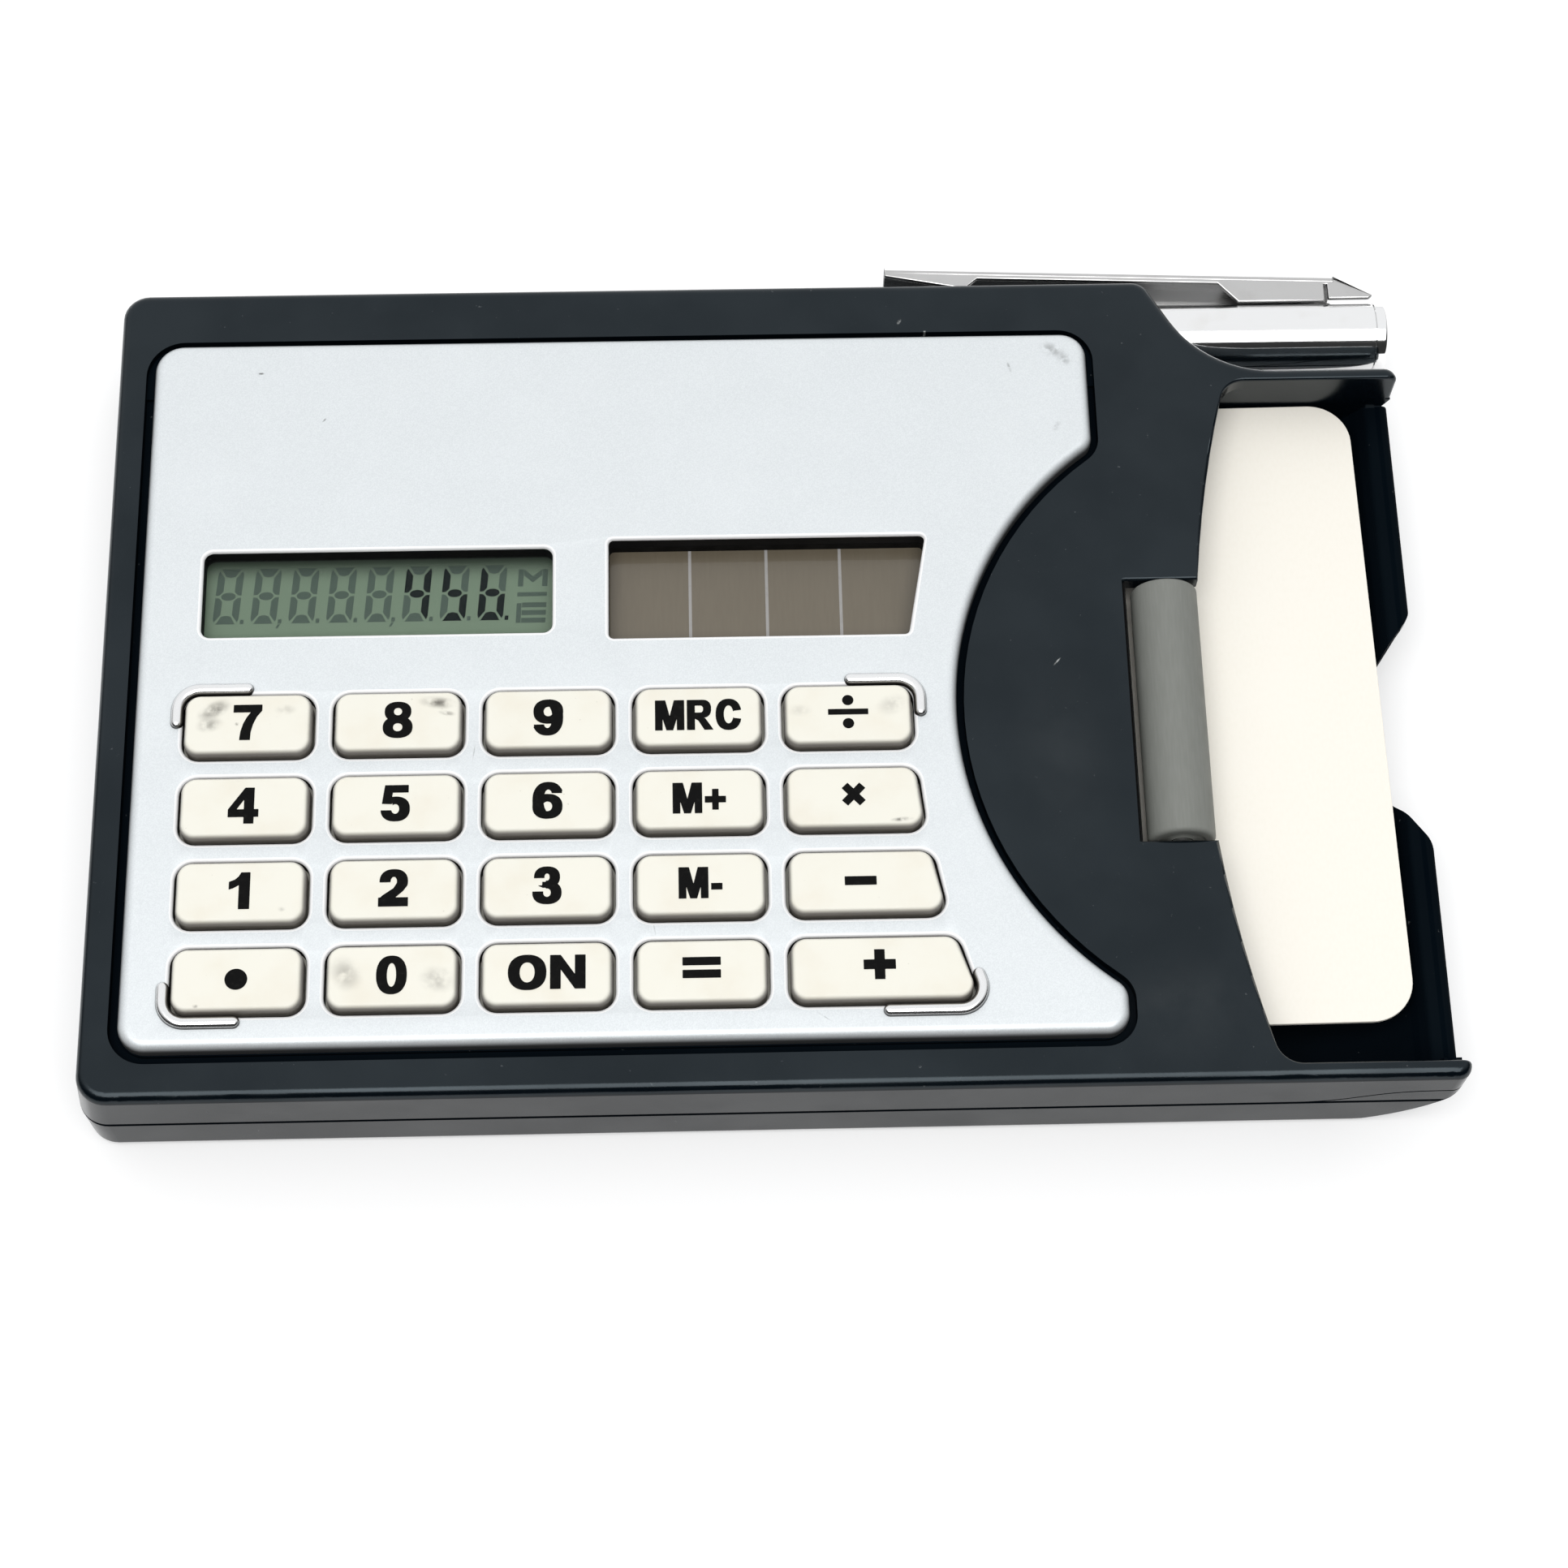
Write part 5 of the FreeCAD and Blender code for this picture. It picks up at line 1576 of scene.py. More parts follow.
    def build(self, paint: Material, wall: Material, rim: Material,
              bright: Material) -> None:
        """Builds the plate and its beads.

        Args:
            paint: the finish of the plate.
            wall: the finish inside the openings.
            rim: the finish of the openings' rounded rims, near white as a painted highlight.
            bright: the finish of the beads.
        """
        plate = self.plate_mesh().piece("faceplate_painted", [paint, wall, rim])
        place(plate, Body.CASE.value, "plate_silver", "faceplate")
        keys = self.keypad
        away = self.clearance + self.bead_gap + self.bead_half
        rear, front = keys.rear + away, keys.front - away
        left = keys.left - away
        slant = (keys.arch_x(keys.front + keys.height) - keys.arch_x(keys.front)) / keys.height
        corners = [
            ("rear_left", (left, rear), self.arm_x, -1, 0.0),
            ("rear_right", (keys.arch_x(keys.rear) + away + self.bead_nudge, rear), -self.arm_x, -1, 0.0),
            ("front_left", (left, front), self.arm_x, 1, 0.0),
            ("front_right", (keys.arch_x(keys.front) + self.bead_stretch * away, front),
             -self.long_arm_x, 1, slant),
        ]
        for name, corner, arm, up, lean in corners:
            mesh = self.bead_mesh(self.bead_path(corner, arm, up, lean))
            place(mesh.piece("bead_" + name, [bright], BEAD_SHARP_DEG), Body.CASE.value, "plate_silver")


@dataclass
class Display:
    """The liquid crystal display: its glass, lit digits and the faint unlit ones."""

    plate: Faceplate
    top: float = 9.95
    cover: float = 0.25
    layer_top: float = 9.66
    low: float = 8.3
    margin: float = 0.6
    overhang: float = 2.0
    corner: float = 0.4
    edge: float = 0.05
    seat: float = 0.01
    pitch: float = 2.83
    first: float = 0.55
    digit_low: float = 1.8
    digit_width: float = 1.93
    digit_height: float = 4.58
    stroke: float = 0.54
    lean: float = 0.075
    slit: float = 0.06
    lift: float = 0.004
    film: float = 0.008
    reading: tuple[str, ...] = ("", "", "", "", "", "4", "5", "6")

    LIT: ClassVar[dict[str, str]] = {"4": "fgbc", "5": "fgcd", "6": "fgecd", "": ""}

    def glass_mesh(self) -> Sculpt:
        """Models the clear cover as finish 0 and the grey-green layer below it as finish 1.

        Returns:
            The mesh of both layers.
        """
        sculpt = Sculpt()
        left, right, front, rear = self.plate.lcd
        sides = (left, right, front, rear + self.overhang)

        def sheet(inset: float) -> list[Point]:
            """Gives the plan of both layers at an inset."""
            return pane(sides, self.margin - inset, self.corner, steps=4)

        sculpt.rounded_block(sheet, self.top - self.cover, self.top, self.edge, 2)
        sculpt.rounded_block(sheet, self.low, self.layer_top, self.edge, 2, 1)
        return sculpt

    def segments(self) -> dict[str, list[Point]]:
        """Gives the seven bars of one digit, upright and before they lean.

        Returns:
            The outline of each bar by its letter.
        """
        w, h, t, s = self.digit_width, self.digit_height, self.stroke, self.slit
        mid = h / 2
        lens = [(w / 2 + (w / 2 - t * 0.78) * math.cos(a), mid + 0.33 * math.sin(a))
                for a in (2 * math.pi * i / 20 for i in range(20))]
        side = [
            (0.0, mid + 0.10), (0.0, h - 0.42), (0.10, h - 0.16), (t, h - 0.78), (t, mid + 0.42),
            (t * 0.55, mid + 0.12)]
        top = [
            (0.22, h), (w - 0.22, h), (w - 0.30, h - 0.08), (w - t - s, h - 0.62), (w / 2, h - 0.72),
            (t + s, h - 0.62), (0.30, h - 0.08)]

        def flipped(bar: Sequence[Point], across: bool, over: bool) -> list[Point]:
            """Mirrors a bar from side to side, from top to bottom, or both."""
            return [(w - x if across else x, h - y if over else y) for x, y in bar]

        return {
            "a": top, "d": flipped(top, False, True), "g": lens, "f": side,
            "b": flipped(side, True, False), "e": flipped(side, False, True), "c": flipped(side, True, True),
        }

    def bar(self, sculpt: Sculpt, points: Sequence[Point], origin: Point) -> None:
        """Lays one thin bar on the glass.

        Args:
            sculpt: the mesh that takes it.
            points: its upright outline.
            origin: where the outline's zero lies.
        """
        spots = [(origin[0] + x + self.lean * y, origin[1] + y) for x, y in points]
        low = self.layer_top + self.lift
        sculpt.slab(spots, low, low + self.film)

    def signs(self) -> list[list[Point]]:
        """Gives the bars of the memory, minus and error signs at the right.

        Returns:
            The outlines of the bars.
        """
        x0, w, t = 23.2, 2.22, 0.4
        x1, y0 = x0 + w, self.digit_low - 0.26
        m0, m1 = y0 + 3.03, y0 + 4.45

        def block(left: float, right: float, low: float, high: float) -> list[Point]:
            """Gives an upright rectangle."""
            return [(left, low), (right, low), (right, high), (left, high)]

        bars = [block(x0, x1, y0 + 2.2, y0 + 2.54)]
        bars += [block(x0 + 0.4, x1, y0 + y, y0 + y + t) for y in (0.0, 0.64, 1.28)]
        bars += [block(x0, x0 + 0.36, y0, y0 + 1.62), block(x0, x0 + t, m0, m1), block(x1 - t, x1, m0, m1)]
        bars.append([
            (x0 + t + 0.03, m1), (x0 + w / 2, m0 + 0.85), (x1 - t - 0.03, m1), (x1 - t - 0.03, m1 - 0.5),
            (x0 + w / 2, m0 + 0.32), (x0 + t + 0.03, m1 - 0.5)])
        return bars

    def build(self, seal: Material, clear: Material, layer: Material,
              dark: Material, faint: Material) -> None:
        """Builds the display.

        Args:
            seal: the finish of the frame round the layer.
            clear: the finish of the cover.
            layer: the finish of the grey-green layer.
            dark: the finish of a lit bar.
            faint: the finish of an unlit bar.
        """
        glass = self.glass_mesh().piece("display_glass", [clear, layer])
        place(glass, Body.CASE.value, "display_glass", "lcd_panel")
        frame_top = self.top - self.cover - self.seat
        gasket = self.plate.gasket_mesh(self.plate.lcd, 0.0, self.layer_top + self.seat, frame_top)
        place(gasket.piece("display_gasket", [seal]), Body.CASE.value, "pad_foam")
        lit, unlit = Sculpt(), Sculpt()
        left, front = self.plate.lcd[0], self.plate.lcd[2]
        for index, sign in enumerate(self.reading):
            origin = (left + self.first + index * self.pitch, front + self.digit_low)
            for name, points in self.segments().items():
                self.bar(lit if name in self.LIT[sign] else unlit, points, origin)
            x = self.digit_width + 0.14
            point = [(x, 0.0), (x + 0.27, 0.0), (x + 0.27, 0.36), (x, 0.36)]
            self.bar(lit if index == len(self.reading) - 1 else unlit, point, origin)
            tail = [(x + 0.02, -0.06), (x + 0.2, -0.06), (x + 0.04, -0.4), (x - 0.12, -0.4)]
            if index in (1, 4):
                self.bar(unlit, tail, origin)
        for points in self.signs():
            spots = [(x - self.lean * 0.4 * y, y) for x, y in points]
            self.bar(unlit, spots, (left, front))
        place(lit.piece("digits_lit", [dark]), Body.CASE.value, "display_glass")
        place(unlit.piece("digits_unlit", [faint]), Body.CASE.value, "display_glass")


@dataclass
class SolarPanel:
    """The solar cell behind its window, with the bright lines between its strips."""

    plate: Faceplate
    frame_top: float = 9.95
    top: float = 9.1
    low: float = 8.85
    margin: float = 0.6
    corner: float = 0.4
    edge: float = 0.05
    seat: float = 0.01
    lines: tuple[float, ...] = (-5.56, 0.23, 5.8)
    line_width: float = 0.23
    line_lift: float = 0.002
    line_thick: float = 0.01

    def build(self, seal: Material, layer: Material, bright: Material) -> None:
        """Builds the cell.

        Args:
            seal: the finish of the frame round the cell.
            layer: the finish of the brown cell under glass.
            bright: the finish of the lines.
        """
        front, rear = self.plate.solar[2:]
        grow, slant = self.margin, self.plate.solar_slant
        sculpt = Sculpt()
        sculpt.rounded_block(
            lambda inset: pane(self.plate.solar, grow - inset, self.corner, slant, 4),
            self.low, self.top, self.edge, 2)
        place(sculpt.piece("solar_strips", [layer]), Body.CASE.value, "solar_glass", "solar_cell")
        gasket = self.plate.gasket_mesh(self.plate.solar, slant, self.top + self.seat, self.frame_top)
        place(gasket.piece("solar_gasket", [seal]), Body.CASE.value, "pad_foam")
        lines = Sculpt()
        half = self.line_width / 2
        for x in self.lines:
            spots = [
                (x - half, front - grow), (x + half, front - grow), (x + half, rear + grow),
                (x - half, rear + grow)]
            low = self.top + self.line_lift
            lines.slab(spots, low, low + self.line_thick)
        place(lines.piece("solar_lines", [bright]), Body.CASE.value, "solar_glass")


@dataclass(frozen=True)
class Strip:
    """A straight strip across the case, by its sides, half length and heights."""

    left: float
    right: float
    half: float
    low: float
    top: float


@dataclass
class CardFeed:
    """The thumb roller, the strips beside it and the card below it; one near-black strip is painted shade in
    the slot beside the roller.
    """

    plan: Plan
    roller_x: float = 30.2
    roller_z: float = 9.2
    radius: float = 2.5
    length: float = 20.4
    edge: float = 0.35
    bore: float = 0.85
    spans: int = 96
    card_length: float = 88.9
    card_width: float = 50.8
    card_low: float = 6.25
    card_top: float = 6.6
    card_corner: float = 3.2
    card_edge: float = 0.06
    skew_deg: float = 0.6
    nose_gap: float = 2.8
    rear_gap: float = 0.15
    strip_corner: float = 0.1
    strip_edge: float = 0.07
    lip: Strip = Strip(26.2, 26.96, 10.82, 9.7, 10.602)
    # painted shade: a near-black strip in the slot's gap beside the roller, where shade falls
    shade_strip: Strip = Strip(26.9, 27.2, 10.5, 9.2, 10.35)

    def roller_mesh(self) -> Sculpt:
        """Models the roller with rounded rims, dished ends and its bore.

        Returns:
            The roller's mesh.
        """
        sculpt = Sculpt()
        half = self.length / 2
        mid = self.plan.bay_mid
        outside = [(half - inset, self.radius - drop) for inset, drop in reversed(fillet_steps(self.edge, 5))]
        rim = self.radius - self.edge
        face = [
            (half, rim), (half, rim - 0.35), (half - 0.18, rim - 0.55), (half - 0.18, self.bore + 0.25),
            (half - 0.05, self.bore)]
        right = [(half - self.edge, self.radius)] + outside + face
        left = [(-y, r) for y, r in reversed(right)]
        between = np.linspace(-half + self.edge, half - self.edge, 9)[1:-1]
        profile = left + [(y, self.radius) for y in between] + right
        turns = [2 * math.pi * step / self.spans for step in range(self.spans)]
        rings = []
        for y, radius in profile + [profile[0]]:
            rings.append(sculpt.loop([
                (self.roller_x + radius * math.cos(turn), mid + y, self.roller_z + radius * math.sin(turn))
                for turn in turns]))
        sculpt.wrap(rings)
        return sculpt

    def card_mesh(self) -> Sculpt:
        """Models the card, a touch askew in its bay.

        Returns:
            The card's mesh.
        """
        sculpt = Sculpt()
        tilt = math.radians(self.skew_deg)
        span_x = self.card_length * math.cos(tilt) + self.card_width * math.sin(tilt)
        span_y = self.card_width * math.cos(tilt) + self.card_length * math.sin(tilt)
        centre_x = self.plan.right - self.nose_gap - span_x / 2
        centre_y = self.plan.bay_rear - self.rear_gap - span_y / 2

        def outline(inset: float) -> list[Point]:
            """Gives the plan of the card at an inset.

            Args:
                inset: how far the edge lies inside.

            Returns:
                The points of the outline.
            """
            x, y = self.card_length / 2, self.card_width / 2
            flat = pane((-x, x, -y, y), -inset, self.card_corner - inset, steps=14)
            cos, sin = math.cos(tilt), math.sin(tilt)
            return [(centre_x + px * cos - py * sin, centre_y + px * sin + py * cos) for px, py in flat]

        sculpt.rounded_block(outline, self.card_low, self.card_top, self.card_edge, 3)
        return sculpt

    def strip_mesh(self, strip: Strip) -> Sculpt:
        """Models a strip along the left wall of the roller's slot.

        Args:
            strip: the strip's place and heights.

        Returns:
            The strip's mesh, with rounded edges.
        """
        sculpt = Sculpt()
        y0, y1 = self.plan.bay_mid - strip.half, self.plan.bay_mid + strip.half
        sides = (strip.left, strip.right, y0, y1)
        sculpt.rounded_block(
            lambda inset: pane(sides, -inset, self.strip_corner, steps=4), strip.low, strip.top,
            self.strip_edge, 3)
        return sculpt

    def build(self, rubber: Material, stock: Material, shell: Material,
              shade_black: Material) -> None:
        """Builds the roller, the strips beside it and the card.

        Args:
            rubber: the finish of the roller.
            stock: the finish of the card.
            shell: the finish of the slot's lip.
            shade_black: the near-black finish of the strip below the lip, a painted shade in the slot's gap.
        """
        place(self.strip_mesh(self.lip).piece("slot_lip", [shell]), Body.CASE.value, "case_black")
        # painted shade: the near-black strip below the lip darkens the slot's gap as shade would
        place(self.strip_mesh(self.shade_strip).piece("slot_shade_strip", [shade_black]), Body.CASE.value, "pad_foam")
        roller = self.roller_mesh().piece("thumb_roller", [rubber])
        place(roller, Body.ROLLER.value, "roller_rubber", "roller")
        card = self.card_mesh().piece("top_card", [stock])
        place(card, Body.CARD.value, "card_paper", "business_card")


@dataclass
class LiftSpring:
    """The bowed strip below the cards, built in its bowed shape; on the real one it flattens as the lift
    plate goes down.
    """

    middle: Point = (-0.515, -2.314)
    floor: float = 1.2
    length: float = 54.0
    width: float = 12.0
    thick: float = 0.25
    rise: float = 4.275
    corner: float = 2.0
    keep: float = 0.25
    spans: int = 48
    soft_share: float = 0.4

    def strip_mesh(self) -> Sculpt:
        """Models the strip with rounded ends.

        Returns:
            The strip's mesh.
        """
        sculpt = Sculpt()
        radius = (self.length ** 2 / 4 + self.rise ** 2) / (2 * self.rise)
        rings = []
        for step in range(self.spans + 1):
            x = self.length * (step / self.spans - 0.5)
            z = self.floor + self.rise - radius + math.sqrt(radius ** 2 - x ** 2)
            end = max(abs(x) - self.length / 2 + self.corner, 0.0)
            half = self.width / 2 - self.corner + math.sqrt(self.corner ** 2 - end ** 2)
            low = max(z - self.thick, self.floor)
            soft = (z - low) * self.soft_share
            edge = [
                (-half, low + soft), (-half + soft, z), (half - soft, z), (half, low + soft),
                (half - soft, low), (-half + soft, low)]
            rings.append(sculpt.loop([
                (self.middle[0] + x, self.middle[1] + y, height) for y, height in edge]))
        sculpt.loft(rings)
        return sculpt

    def build(self, steel: Material) -> None:
        """Builds the strip.

        Args:
            steel: its finish.
        """
        strip = self.strip_mesh().piece("lift_strip", [steel])
        place(strip, Body.CASE.value, "spring_steel", "leaf_spring")
        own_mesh(strip)


@dataclass
class Pen:
    """The chrome pen at the rear and its stamped clip."""

    plan: Plan
    y: float = 29.45
    z: float = 7.0
    radius: float = 2.7
    start: float = -32.0
    end: float = 48.5
    cap_end: float = 49.4
    cap_edge: float = 0.22
    wall: float = 0.4
    sheet: float = 0.4
    half_height: float = 2.1
    tip: float = 39.4
    tip_out: float = 2.2
    bend: float = 3.9
    bend_out: float = 0.85
    soften: float = 0.09

    def barrel_mesh(self) -> Sculpt:
        """Models the barrel with broken edges at both ends.

        Returns:
            The barrel's mesh.
        """
        sculpt = Sculpt()
        r = self.radius
        profile = [(self.start, r - self.wall), (self.start, r - 0.06), (self.start + 0.06, r)]
        profile += [(x, r) for x in np.linspace(self.start + 0.5, self.end - 0.5, 12)]
        profile += [(self.end - 0.06, r), (self.end, r - 0.06), (self.end, r - self.wall)]
        sculpt.lathe(profile, (self.y, self.z), 96)
        return sculpt

    def cap_mesh(self) -> Sculpt:
        """Models the end cap with its rounded rim and plug.

        Returns:
            The cap's mesh.
        """
        sculpt = Sculpt()
        r = self.radius
        plug = r - self.wall - 0.02
        profile = [
            (self.end - 4.0, 0.02), (self.end - 4.0, plug), (self.end + 0.01, plug),
            (self.end + 0.01, r - 0.05), (self.end + 0.06, r)]
        profile += [(self.cap_end - drop, r - inset) for inset, drop in fillet_steps(self.cap_edge, 6)]
        profile += [(self.cap_end, r - 0.9), (self.cap_end - 0.05, r - 1.3), (self.cap_end - 0.05, 0.02)]
        sculpt.lathe(profile, (self.y, self.z), 72)
        return sculpt

    def outer(self, along: float) -> float:
        """Gives how far out the clip's back lies at a distance from the right end."""
        share = (along - self.bend) / (self.tip - self.bend)
        return self.plan.rear + self.bend_out + share * (self.tip_out - self.bend_out)

    def clip_piece(self, steel: Material) -> bpy.types.Object:
        """Models the stamped clip with softened edges.

        Args:
            steel: its finish.

        Returns:
            The object.
        """
        rear = self.plan.rear
        grip = self.y + 2.15
        back = [(along, self.outer(along)) for along in (self.tip, self.bend)]
        flange = back + [
            (0.95, rear - 0.75), (1.25, rear - 1.0), (4.45, rear - 1.0), (4.45, rear + 0.3),
            (4.75, rear + 0.3), (4.75, grip), (11.6, grip), (13.1, self.outer(13.1) - 0.68),
            (32.1, self.outer(32.1) - 0.68),
            (33.0, rear + 0.45), (33.6, rear + 0.45), (self.tip, self.outer(self.tip) - 0.6),
        ]
        spine = back + [(along, y - self.sheet) for along, y in reversed(back)]
        low, high = self.z - self.half_height, self.z + self.half_height
        sculpt = Sculpt()
        for outline, floor, roof in ((flange, low, low + self.sheet), (flange, high - self.sheet, high),
                                     (spine, low, high)):
            sculpt.slab([(self.plan.right - along, y) for along, y in outline], floor, roof)
        return sculpt.piece("pen_clip_stamped", [steel], soften=self.soften)

    def build(self, chrome: Material, steel: Material) -> None:
        """Builds the barrel, the cap and the clip.

        Args:
            chrome: the finish of the barrel and cap.
            steel: the finish of the clip.
        """
        place(self.barrel_mesh().piece("pen_tube", [chrome]), Body.PEN.value, "pen_chrome", "pen_barrel")
        place(self.cap_mesh().piece("pen_end_cap", [chrome]), Body.PEN.value, "pen_chrome", "pen_cap")
        place(self.clip_piece(steel), Body.PEN.value, "clip_steel", "pen_clip")


@dataclass
class Studio:
    """The floor, the lamp, the sky and the camera."""

    camera_at: Corner = (-3.42, -99.68, 227.5)
    lens: float = 73.70
    elevation_deg: float = 67.40
    yaw_deg: float = -2.893
    roll_deg: float = 1.687
    floor_half: float = 2.5
    floor_glow: float = 0.38

    def camera(self) -> None:
        """Sets the camera where the photograph was taken from."""
        e, yaw, roll = (math.radians(a) for a in (self.elevation_deg, self.yaw_deg, self.roll_deg))
        back = Vector((math.sin(yaw) * math.cos(e), -math.cos(yaw) * math.cos(e), math.sin(e)))
        level = Vector((math.cos(yaw), math.sin(yaw), 0.0))
        rise = back.cross(level)
        right = level * math.cos(roll) + rise * math.sin(roll)
        up = rise * math.cos(roll) - level * math.sin(roll)
        data = bpy.data.cameras.new("camera")
        data.lens = self.lens
        data.sensor_width = 36.0
        data.clip_start = 0.01
        made = bpy.data.objects.new("camera", data)
        turn = Matrix((right, up, back)).transposed().to_4x4()
        made.matrix_world = Matrix.Translation(Vector(self.camera_at) * MM) @ turn
        bpy.context.scene.collection.objects.link(made)
        bpy.context.scene.camera = made

    def lamp(self, name: str, at: Corner, aim: Corner, size: Point, watts: float) -> None:
        """Hangs one soft lamp.

        Args:
            name: its name.
            at: its place in metres.
            aim: the point that it faces.
            size: its two sides in metres.
            watts: its power.
        """
        data = bpy.data.lights.new(name, "AREA")
        data.shape = "RECTANGLE"
        data.size, data.size_y = size
        data.energy = watts
        made = bpy.data.objects.new(name, data)
        made.location = at
        made.rotation_euler = (Vector(at) - Vector(aim)).to_track_quat("Z", "Y").to_euler()
        bpy.context.scene.collection.objects.link(made)

    def floor(self) -> None:
        """Lays the plain pale floor, which keeps the object's shadow."""
        half = self.floor_half
        data = bpy.data.meshes.new("floor")
        corners = [(-half, -half, 0.0), (half, -half, 0.0), (half, half, 0.0), (-half, half, 0.0)]
        data.from_pydata(corners, [], [(0, 1, 2, 3)])
        made = bpy.data.objects.new("floor", data)
        made.location.z = -0.00005
        bpy.context.scene.collection.objects.link(made)
        material = bpy.data.materials.new("pale floor")
        material.use_nodes = True
        tree = material.node_tree
        skin = tree.nodes["Principled BSDF"]
        skin.inputs["Base Color"].default_value = (0.68, 0.68, 0.68, 1.0)
        skin.inputs["Roughness"].default_value = 0.8
        skin.inputs["Emission Color"].default_value = (1.0, 1.0, 1.0, 1.0)
        path = tree.nodes.new("ShaderNodeLightPath")
        mirrored = tree.nodes.new("ShaderNodeMath")
        mirrored.operation = "MAXIMUM"
        tree.links.new(path.outputs["Is Glossy Ray"], mirrored.inputs[0])
        tree.links.new(path.outputs["Is Transmission Ray"], mirrored.inputs[1])
        seen = tree.nodes.new("ShaderNodeMath")
        seen.operation = "MAXIMUM"
        tree.links.new(path.outputs["Is Camera Ray"], seen.inputs[0])
        tree.links.new(mirrored.outputs[0], seen.inputs[1])
        glow = tree.nodes.new("ShaderNodeMath")
        glow.operation = "MULTIPLY"
        glow.inputs[1].default_value = self.floor_glow
        tree.links.new(seen.outputs[0], glow.inputs[0])
        tree.links.new(glow.outputs[0], skin.inputs["Emission Strength"])
        data.materials.append(material)

    def sky(self) -> None:
        """Makes the soft room light: pale above and behind, dark in front near the level."""
        world = bpy.data.worlds.new("room")
        bpy.context.scene.world = world
        world.use_nodes = True
        tree = world.node_tree
        ground = tree.nodes["Background"]
        where = tree.nodes.new("ShaderNodeTexCoord")
        split = tree.nodes.new("ShaderNodeSeparateXYZ")
        tree.links.new(where.outputs["Generated"], split.inputs[0])
        lean = tree.nodes.new("ShaderNodeMath")
        lean.operation = "MULTIPLY_ADD"
        lean.inputs[1].default_value = 0.8
        tree.links.new(split.outputs["Y"], lean.inputs[0])
        tree.links.new(split.outputs["Z"], lean.inputs[2])
        height = tree.nodes.new("ShaderNodeMapRange")
        height.interpolation_type = "SMOOTHSTEP"
        height.inputs["From Min"].default_value = 0.15
        height.inputs["From Max"].default_value = 0.95
        height.inputs["To Min"].default_value = 0.03
        height.inputs["To Max"].default_value = 0.9
        tree.links.new(lean.outputs[0], height.inputs["Value"])
        path = tree.nodes.new("ShaderNodeLightPath")
        pick = tree.nodes.new("ShaderNodeMix")
        pick.inputs[3].default_value = 1.0
        tree.links.new(path.outputs["Is Camera Ray"], pick.inputs[0])
        tree.links.new(height.outputs["Result"], pick.inputs[2])
        tree.links.new(pick.outputs[0], ground.inputs["Strength"])
        ground.inputs["Color"].default_value = (0.98, 0.99, 1.0, 1.0)

    def build(self) -> None:
        """Sets up the whole studio."""
        bpy.context.scene.view_settings.view_transform = "Standard"
        self.sky()
        self.floor()
        self.lamp("overhead softbox", (-0.03, -0.25, 0.72), (0.0, 0.0, 0.0), (0.8, 0.5), 4.0)
        self.camera()
        LOG.info("studio ready")


# The marks of use, placed as on the real one


KEY_SOIL = (
    Smudge((-40.5, -3.45), (1.6, 0.8), 28.0, 1.0),
    Smudge((-40.8, -4.6), (1.2, 0.75), 10.0, 0.6),
    Smudge((-35.25, -3.5), (1.0, 0.5), 0.0, 0.3),
    Smudge((-38.8, -4.6), (0.2, 0.2), 0.0, 0.7),
    Smudge((-24.1, -3.15), (1.7, 0.6), -6.0, 0.95),
    Smudge((-23.45, -4.0), (0.8, 0.28), -12.0, 0.75),
    Smudge((-35.0, -19.1), (0.35, 0.25), 0.0, 0.35),
    Smudge((-30.3, -24.1), (1.3, 1.7), 30.0, 0.5),
    Smudge((-23.8, -24.6), (1.2, 1.6), 80.0, 0.5),
    Smudge((-40.8, -26.3), (0.3, 0.2), 0.0, 0.6),
    Smudge((2.4, -4.25), (1.1, 0.6), 0.0, 0.22),
    Smudge((9.2, -3.9), (1.5, 1.0), 20.0, 0.3),
    Smudge((9.6, -13.0), (1.0, 0.24), 4.0, 1.0),
)
PLATE_MARKS = (
    Smudge((22.7, 26.2), (1.3, 0.8), -20.0, 0.55),
    Smudge((23.6, 25.4), (0.8, 0.7), -40.0, 0.45),
    Smudge((19.3, 24.75), (0.16, 0.7), 15.0, 0.5),
    Smudge((-38.3, 25.1), (0.42, 0.14), 0.0, 1.0),
    Smudge((-33.3, 20.95), (0.32, 0.1), 50.0, 0.8),
    Smudge((22.7, 19.5), (0.7, 0.3), 60.0, 0.3),
    Smudge((-31.85, -4.3), (0.3, 0.25), 0.0, 1.0),
    Smudge((-21.5, -6.85), (0.08, 0.9), -8.0, 0.4),
    Smudge((-8.4, -20.9), (0.07, 0.8), 10.0, 0.35),
    Smudge((3.6, -27.7), (0.9, 0.07), -35.0, 0.35),
)
SHELL_MARKS = (
    Smudge((11.0, 29.3), (0.16, 0.32), -30.0, 0.7),
    Smudge((12.95, 28.4), (0.14, 0.12), 0.0, 0.7),
    Smudge((21.7, 0.0), (0.09, 0.5), -42.0, 0.9),
    Smudge((29.3, -27.0), (7.0, 5.0), 0.0, 0.018),
    Smudge((21.7, -7.2), (5.0, 10.0), 0.0, 0.012),
)


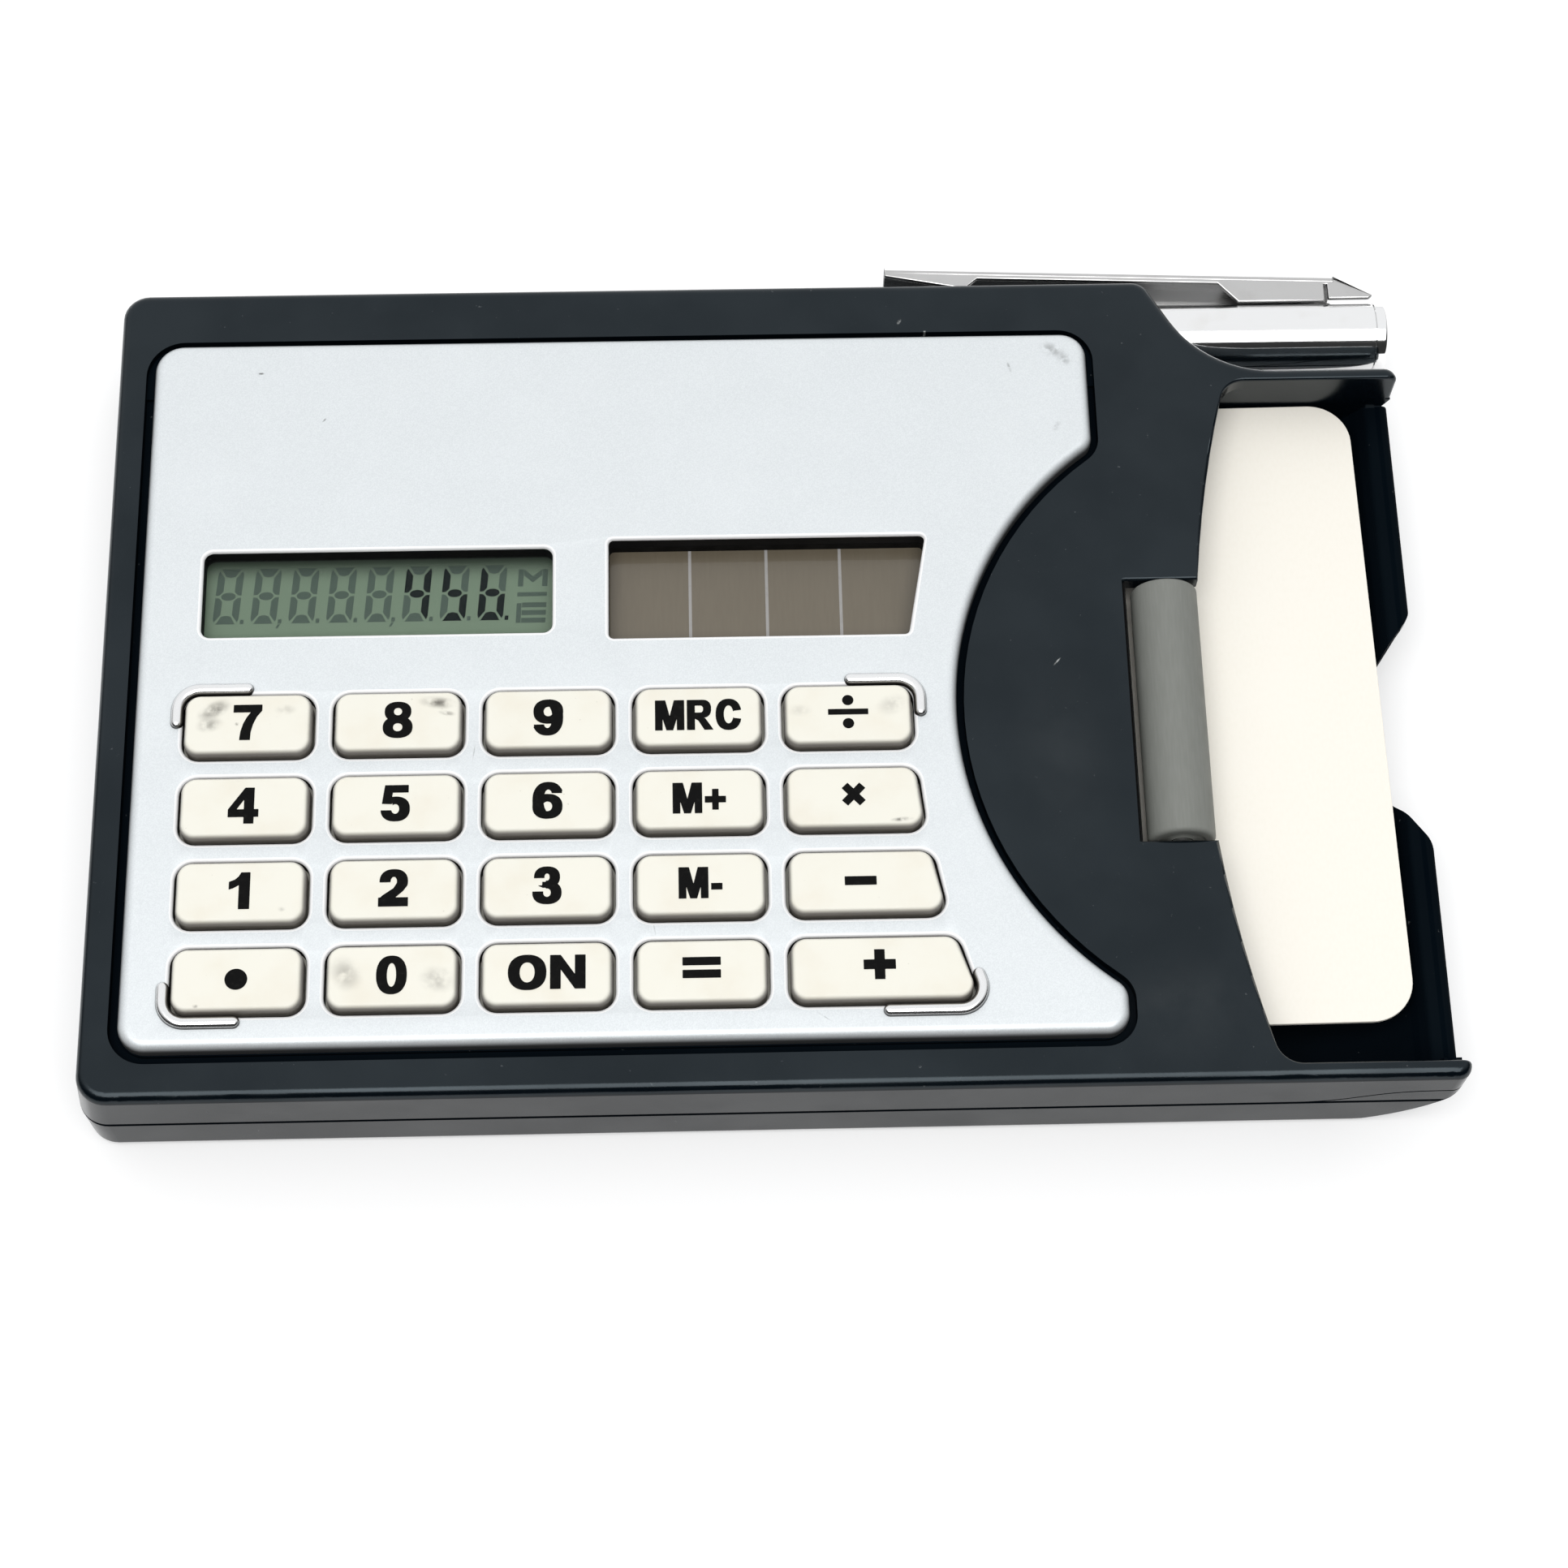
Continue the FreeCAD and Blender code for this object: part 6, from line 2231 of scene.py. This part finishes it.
def carried_finishes() -> dict[str, Material]:
    """Makes the finishes of the CAD nodes that are carried as they are.

    Returns:
        The finish of each node by its name.
    """
    colours = ((0.0012, 0.0030, 0.0052), (0.0020, 0.0042, 0.0066))
    bluish = (0.78, 0.92, 1.0)
    # painted shade: in the groove round the plate and in the card bay the plastic loses its shine and dulls
    lid = MouldedPlastic("lid black", *colours, tint=bluish, marks=SHELL_MARKS, front=(-32.0, -32.6),
                         hollows=(((-47.3, -30.15, -9.0), (26.0, 28.45, 10.45)),), seam=5.0)
    base = MouldedPlastic("base black", *colours, tint=bluish, seam=5.0, front=(-32.0, -32.6), hollows=(
        ((-48.4, -31.3, 0.6), (48.75, 23.5, 99.0)), ((48.5, -31.3, 5.7), (49.9, 23.6, 99.0))))
    tray = MouldedPlastic("tray black", (0.0020, 0.0021, 0.0024), (0.0036, 0.0037, 0.004), (0.55, 0.7), 0.08)
    steel = PolishedMetal("zinc steel", (0.55, 0.55, 0.53), (0.4, 0.38, 0.34), (0.25, 0.4)).make()
    brass = PolishedMetal("plated strip", (0.78, 0.66, 0.4), (0.5, 0.38, 0.2), (0.2, 0.35)).make()
    inner = tray.make()
    return {
        "base_shell": base.make(),
        "top_shell": lid.make(),
        "module_tray": inner,
        "lift_plate": inner,
        "keypad_web": DullRubber("silicone sheet", (0.35, 0.36, 0.36), (0.42, 0.43, 0.43)).make(),
        "circuit_board": CoveredPanel("solder mask", (0.03, 0.16, 0.07), (0.05, 0.22, 0.10), coat=0.3).make(),
        "contact_pads": PrintedInk("carbon print", (0.02, 0.02, 0.02), (0.05, 0.05, 0.05), 0.6).make(),
        "driver_chip": CoveredPanel("epoxy drop", (0.012, 0.012, 0.012), (0.02, 0.02, 0.02), coat=0.5).make(),
        "lcd_connector": DullRubber(
            "layered strip", (0.55, 0.2, 0.25), (0.2, 0.12, 0.12), (6.0, 0.1, 0.1)).make(),
        "solar_pad": DullRubber("foam", (0.05, 0.05, 0.05), (0.09, 0.09, 0.09), (1.0, 1.0, 1.0), 0.03).make(),
        "solar_leads": brass,
        "button_cell": steel,
        "cell_contact_top": brass,
        "cell_contact_bottom": brass,
        "module_screws": steel,
        "case_screws": steel,
        "roller_axle": PolishedMetal("ground pin", (0.6, 0.6, 0.6), (0.4, 0.4, 0.4), (0.15, 0.3)).make(),
        "pen_nose": PolishedMetal("chrome nose", (0.80, 0.80, 0.81), (0.66, 0.65, 0.63)).make(),
        "pen_refill": brass,
    }


def main() -> None:
    """Builds every sub-assembly in order."""
    logging.basicConfig(level=logging.INFO)
    plan = Plan()
    keypad = Keypad(plan)
    plate = Faceplate(plan, keypad)
    wall = MouldedPlastic(
        "window walls", (0.005, 0.005, 0.006), (0.008, 0.008, 0.008), (0.5, 0.7), 0.08).make()
    ink = PrintedInk("legend black", (0.004, 0.004, 0.004), (0.012, 0.012, 0.011)).make()
    carried = carried_finishes()
    for node, finish in carried.items():
        coat(node, finish)
    plate.build(
        # painted shade: the plate's steep sides take a near-black side colour
        SilverPaint("silver paint", marks=PLATE_MARKS, side=(0.1, 0.103, 0.106)).make(), wall,
        # painted highlight: the openings' rims are near white, standing in for the light they catch
        SilverPaint("rims with painted highlight", (0.97, 0.97, 0.97), (0.93, 0.93, 0.93), 0.1).make(),
        # painted shade: the beads' steep sides take a near-black side colour
        PolishedMetal(
            "bright beads", (0.95, 0.95, 0.95), (0.85, 0.85, 0.84), (0.12, 0.24),
            side=(0.1, 0.1, 0.1)).make())
    keypad.build(KeyPlastic("cream keys", soil=KEY_SOIL).make(), ink)
    seal = DullRubber(
        "window seal", (0.004, 0.004, 0.004), (0.007, 0.007, 0.007), (1.0, 1.0, 1.0), shine=0.08).make()
    Display(plate).build(
        DullRubber(
            "display seal", (0.008, 0.010, 0.009), (0.012, 0.014, 0.013), (1.0, 1.0, 1.0), shine=0.1).make(),
        ClearCover("display cover").make(),
        # painted shadow: the layer and the unlit bars darken towards the window's rear wall
        PrintedInk("display layer", (0.155, 0.215, 0.153), (0.165, 0.226, 0.163), painted_shadow=(7.8, 10.3)).make(),
        PrintedInk("lit bars", (0.004, 0.008, 0.008), (0.006, 0.010, 0.010)).make(),
        PrintedInk("unlit bars", (0.068, 0.098, 0.079), (0.075, 0.107, 0.086), painted_shadow=(8.0, 10.4)).make())
    SolarPanel(plate).build(
        seal,
        CoveredPanel(
            "solar layer", (0.126, 0.105, 0.072), (0.134, 0.112, 0.0775), (1.0, 0.1, 1.0), 0.2).make(),
        PrintedInk("solar lines", (0.34, 0.33, 0.32), (0.28, 0.27, 0.26)).make())
    CardFeed(plan).build(
        DullRubber("roller grey", (0.188, 0.195, 0.177), (0.206, 0.213, 0.195)).make(),
        CardStock("card white").make(), carried["top_shell"], seal)
    LiftSpring().build(
        PolishedMetal("blued strip", (0.35, 0.37, 0.42), (0.22, 0.2, 0.2), (0.22, 0.35)).make())
    Pen(plan).build(
        PolishedMetal("pen chrome", (0.97, 0.97, 0.97), (0.89, 0.88, 0.86)).make(),
        # painted shade: the clip's steep and downward faces take a darker side colour
        PolishedMetal(
            "clip steel", (0.62, 0.615, 0.61), (0.5, 0.49, 0.48), (0.22, 0.36), side=(0.3, 0.3, 0.3)).make())
    Studio().build()


if __name__ == "__main__":
    main()
